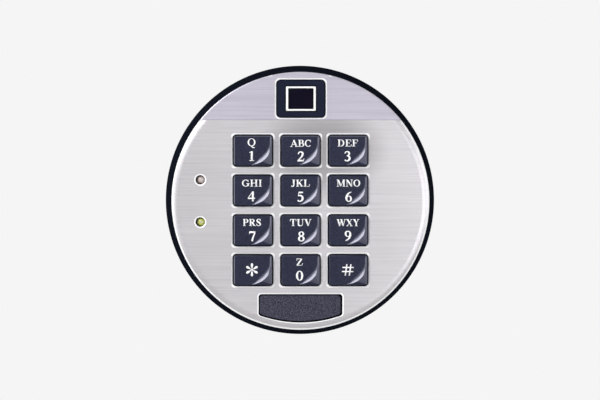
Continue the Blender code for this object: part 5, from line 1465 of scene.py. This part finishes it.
bezel = sensor_block("bezel", BEZEL_SIZE, FACE_BACK, 0.5, 1.4)
join(bezel, box("bezel_tail", (16.4, 12.1), DECK_BACK, FACE_BACK + 1, sensor_place, corner=0.4))
sensor_through = (DECK_BACK - 1, SLOPE_FRONT + 1, sensor_place)
cut(bezel, box("frame_seat", (12.2, 10.1), *sensor_through, corner=0.55))
soften(bezel, 0.22, 3)
bezel_black = moulded_black("bezel_black", (0.0095, 0.0120, 0.0262), 0.05)
seat(bezel, bezel_black, "pad", "sensor_black", "sensor_bezel")
surround = sensor_block("surround", (11.3, 9.25), DECK_BACK, 0.6, 0.4)
cut(surround, box("window_hole", (9.65, 7.95), *sensor_through, corner=0.25, steps=4))
soften(surround, 0.1, 3)
seat(surround, white_frame(), "pad", "frame_white", "sensor_frame")
glass = sensor_block("glass", (8.85, 7.15), DECK_BACK, 0.3, 0.2, 4)
soften(glass, 0.12, 2)
seat(glass, sensor_glass(), "pad", "sensor_glass", "sensor_window")


# Battery. A nine volt block in a printed metal jacket, lying across the drawer with both snap
# terminals at its right end: a plain stud above and a wider slit cup below.
def battery_jacket():
    """Dark printed tin, with a copper coloured band at the terminals' end."""
    finish = Finish("battery_jacket", (0.045, 0.046, 0.050), 0.34, Metallic=0.5)
    band = finish.axis(0).step(0.0105, 0.0107)
    wear = finish.noise(260.0, 4.0)
    return finish.coat(band, (0.030, 0.031, 0.035), (0.46, 0.23, 0.10), wear, 0.28, 0.18, 0.00001)


BATTERY_LEVEL = 15.1
BATTERY_THICKNESS = 17.0
BATTERY_Y = -24.75
BATTERY_END = 21.45
jacket_front = BATTERY_LEVEL + BATTERY_THICKNESS / 2
jacket_back = BATTERY_LEVEL - BATTERY_THICKNESS / 2
battery = box("battery_jacket", (45.7, 26.5), jacket_back, jacket_front, (-1.4, BATTERY_Y))
round_off(battery, "EDGE", lambda edge: abs(edge.verts[0].co.x - edge.verts[1].co.x) > 1.0, 2.0, 8)
pick(battery, "FACE", lambda face: abs(face.normal.x) > 0.9)
bpy.ops.mesh.inset(thickness=0.7, depth=0.0, use_individual=True)
bpy.ops.mesh.inset(thickness=0.25, depth=-0.35, use_individual=True)
close_edit()
soften(battery, 0.15, 2)
seat(battery, battery_jacket(), "battery_drawer", "battery_case", "battery")
STUD = [(2.6, -0.6), (2.6, 0.5), (2.2, 1.0), (2.2, 1.4), (2.8, 1.9), (2.8, 2.5), (2.4, 2.8)]
CUP = [(3.6, -0.6), (3.6, 0.6), (3.2, 1.0), (3.9, 2.0), (4.2, 2.8)]
plus = turned("terminal_plus", STUD, 36)
minus = turned("terminal_minus", CUP, 36)
cut(minus, rod("cup", 2.9, 0.8, 3.8, sides=36))
for turn in (0, 60, 120):
    slit = box("slit", (9.4, 0.5), 1.2, 3.8)
    cut(minus, moved(slit, Matrix.Rotation(math.radians(turn), 4, "Z")))
for terminal, y in ((plus, BATTERY_Y + 6.35), (minus, BATTERY_Y - 6.35)):
    soften(terminal, 0.08, 2)
    outwards = Matrix.Rotation(math.pi / 2, 4, "Y")
    moved(terminal, Matrix.Translation((BATTERY_END, y, BATTERY_LEVEL)) @ outwards)
    seat(terminal, tinned, "battery_drawer", "zinc_steel")


# Battery drawer. A low tray that slides out at the foot on the cover's two rails. Its fascia is a
# piece of the housing's tapered wall, with three grooves for a fingertip.
DRAWER_BACK = 5.1
DRAWER_FLOOR = 6.3
TRAY_FRONT = 10.1
BAY_HALF = 24.55
FASCIA_HALF = 27.0
GRIP_PITCH = 3.2


def tapered(name, inset, back, front):
    """A solid cone that follows the housing's wall."""
    return rod(name, wall_radius(back, inset), back, front, sides=192, end_radius=wall_radius(front, inset))


drawer = box("drawer_tray", (51.5, 42.7), DRAWER_BACK, TRAY_FRONT, (0.0, -31.35))
combine(drawer, "INTERSECT", tapered("tray_limit", WALL / 2, COVER_FRONT, TRAY_FRONT + 1))
battery_bay = box("battery_bay", (2 * BAY_HALF, 27.1), DRAWER_FLOOR, TRAY_FRONT + 1, (0.0, BATTERY_Y))
front_bay = box("front_bay", (2 * BAY_HALF, 14.2), DRAWER_FLOOR, TRAY_FRONT + 1, (0.0, -46.6))
cut(drawer, battery_bay, front_bay)
fascia = tapered("fascia", 0.0, DRAWER_BACK, FASCIA_FRONT)
cut(fascia, tapered("fascia_inside", WALL, DRAWER_BACK - 1, FASCIA_FRONT + 1))
span = box("fascia_span", (2 * FASCIA_HALF, 52.7), DRAWER_BACK - 1, FASCIA_FRONT + 1, (0.0, -27.35))
join(drawer, combine(fascia, "INTERSECT", span))
for row in (-1, 0, 1):
    level = (DRAWER_BACK + FASCIA_FRONT) / 2 + row * GRIP_PITCH
    groove = rod("grip_groove", BASE_RADIUS + 1, level - 0.7, level + 0.7, sides=192)
    cut(groove, rod("grip_floor", wall_radius(level, 0.7), level - 1.7, level + 1.7, sides=192))
    grip_span = box("grip_span", (22.0, 20.0), level - 2, level + 2, (0.0, -50.0))
    cut(drawer, combine(groove, "INTERSECT", grip_span))
soften(drawer, 0.2, 2)
seat(drawer, black, "battery_drawer", "black_housing", "battery_drawer")


# Screws. Eight with pan heads and a cross recess: four hold the board and four the rear cover. A
# countersunk one locks the unit on its plate, and is reached once the drawer is out.
def screw(name, profile, recess_back, recess_front, reach):
    """A turned screw with a thread on its shank and a cross recess in its head."""
    made = turned(name, profile, 32)
    for size in ((reach, 0.45), (0.45, reach)):
        cut(made, box("recess", size, recess_back, recess_front))
    return smooth(made, 30.0)


def thread(radius, start, end, pitch=0.5, depth=0.11):
    """The crests and roots of a thread between two levels."""
    points = []
    for turn in range(int((end - start) / pitch)):
        points += [(radius - depth, start + turn * pitch), (radius, start + (turn + 0.5) * pitch)]
    return points


def pan_head(name, seat_level, length, radius, head_radius, head):
    tip = seat_level + length
    profile = [
        (head_radius - 0.45, seat_level - head),
        (head_radius - 0.15, seat_level - head + 0.15),
        (head_radius, seat_level - head + 0.5),
        (head_radius, seat_level),
        *thread(radius, seat_level, tip - 0.6),
        (radius / 2, tip),
    ]
    return screw(name, profile, seat_level - head - 1, seat_level - 0.4 * head, 1.3 * head_radius)


def fasten(first, nodes, places):
    """Puts a zinc plated copy of a piece at each place, for each CAD node, and removes the first."""
    for node, place in zip(nodes, places):
        seat(copied(first, f"steel_{node}", place), zinc, "pad", "zinc_steel", node)
    bpy.data.objects.remove(first)


def numbered(name, count=4):
    return [f"{name}_{number}" for number in range(1, count + 1)]


fasten(pan_head("board_screw", SOLDER_SIDE, 5.5, 1.1, 2.2, 1.5), numbered("board_screw"), BOARD_POSTS)
cover_screw = pan_head("cover_screw", COVER_BACK - 0.3, 9.0, 1.2, 2.4, 1.5)
fasten(cover_screw, numbered("cover_screw"), sorted(COVER_POST_PLACES))
lock_profile = [(1.1, 0.6), *thread(1.5, 0.9, 3.0), (1.5, 3.2), (2.9, 4.6)]
fasten(screw("lock_screw", lock_profile, 3.6, 5.6, 3.2), ["lock_screw"], [LOCK_SCREW_PLACE])


# Nuts. Six small zinc plated hexagon nuts behind the deck, one on each stud of the two face
# plates. They draw both plates against the housing.
NUT_BACK = 28.9
NUT_FRONT = 31.1
nut = rod("nut", 3.2, NUT_BACK, NUT_FRONT, sides=6)
chamfers = [(2.7, NUT_BACK), (3.25, NUT_BACK + 0.3), (3.25, NUT_FRONT - 0.3), (2.7, NUT_FRONT)]
combine(nut, "INTERSECT", turned("nut_chamfers", chamfers, 48))
cut(nut, rod("nut_bore", 1.7, NUT_BACK - 1, NUT_FRONT + 1, sides=32))
soften(nut, 0.05, 1, 25.0)
fasten(nut, numbered("face_nut") + numbered("sensor_nut", 2), FACE_STUDS + SENSOR_STUDS)
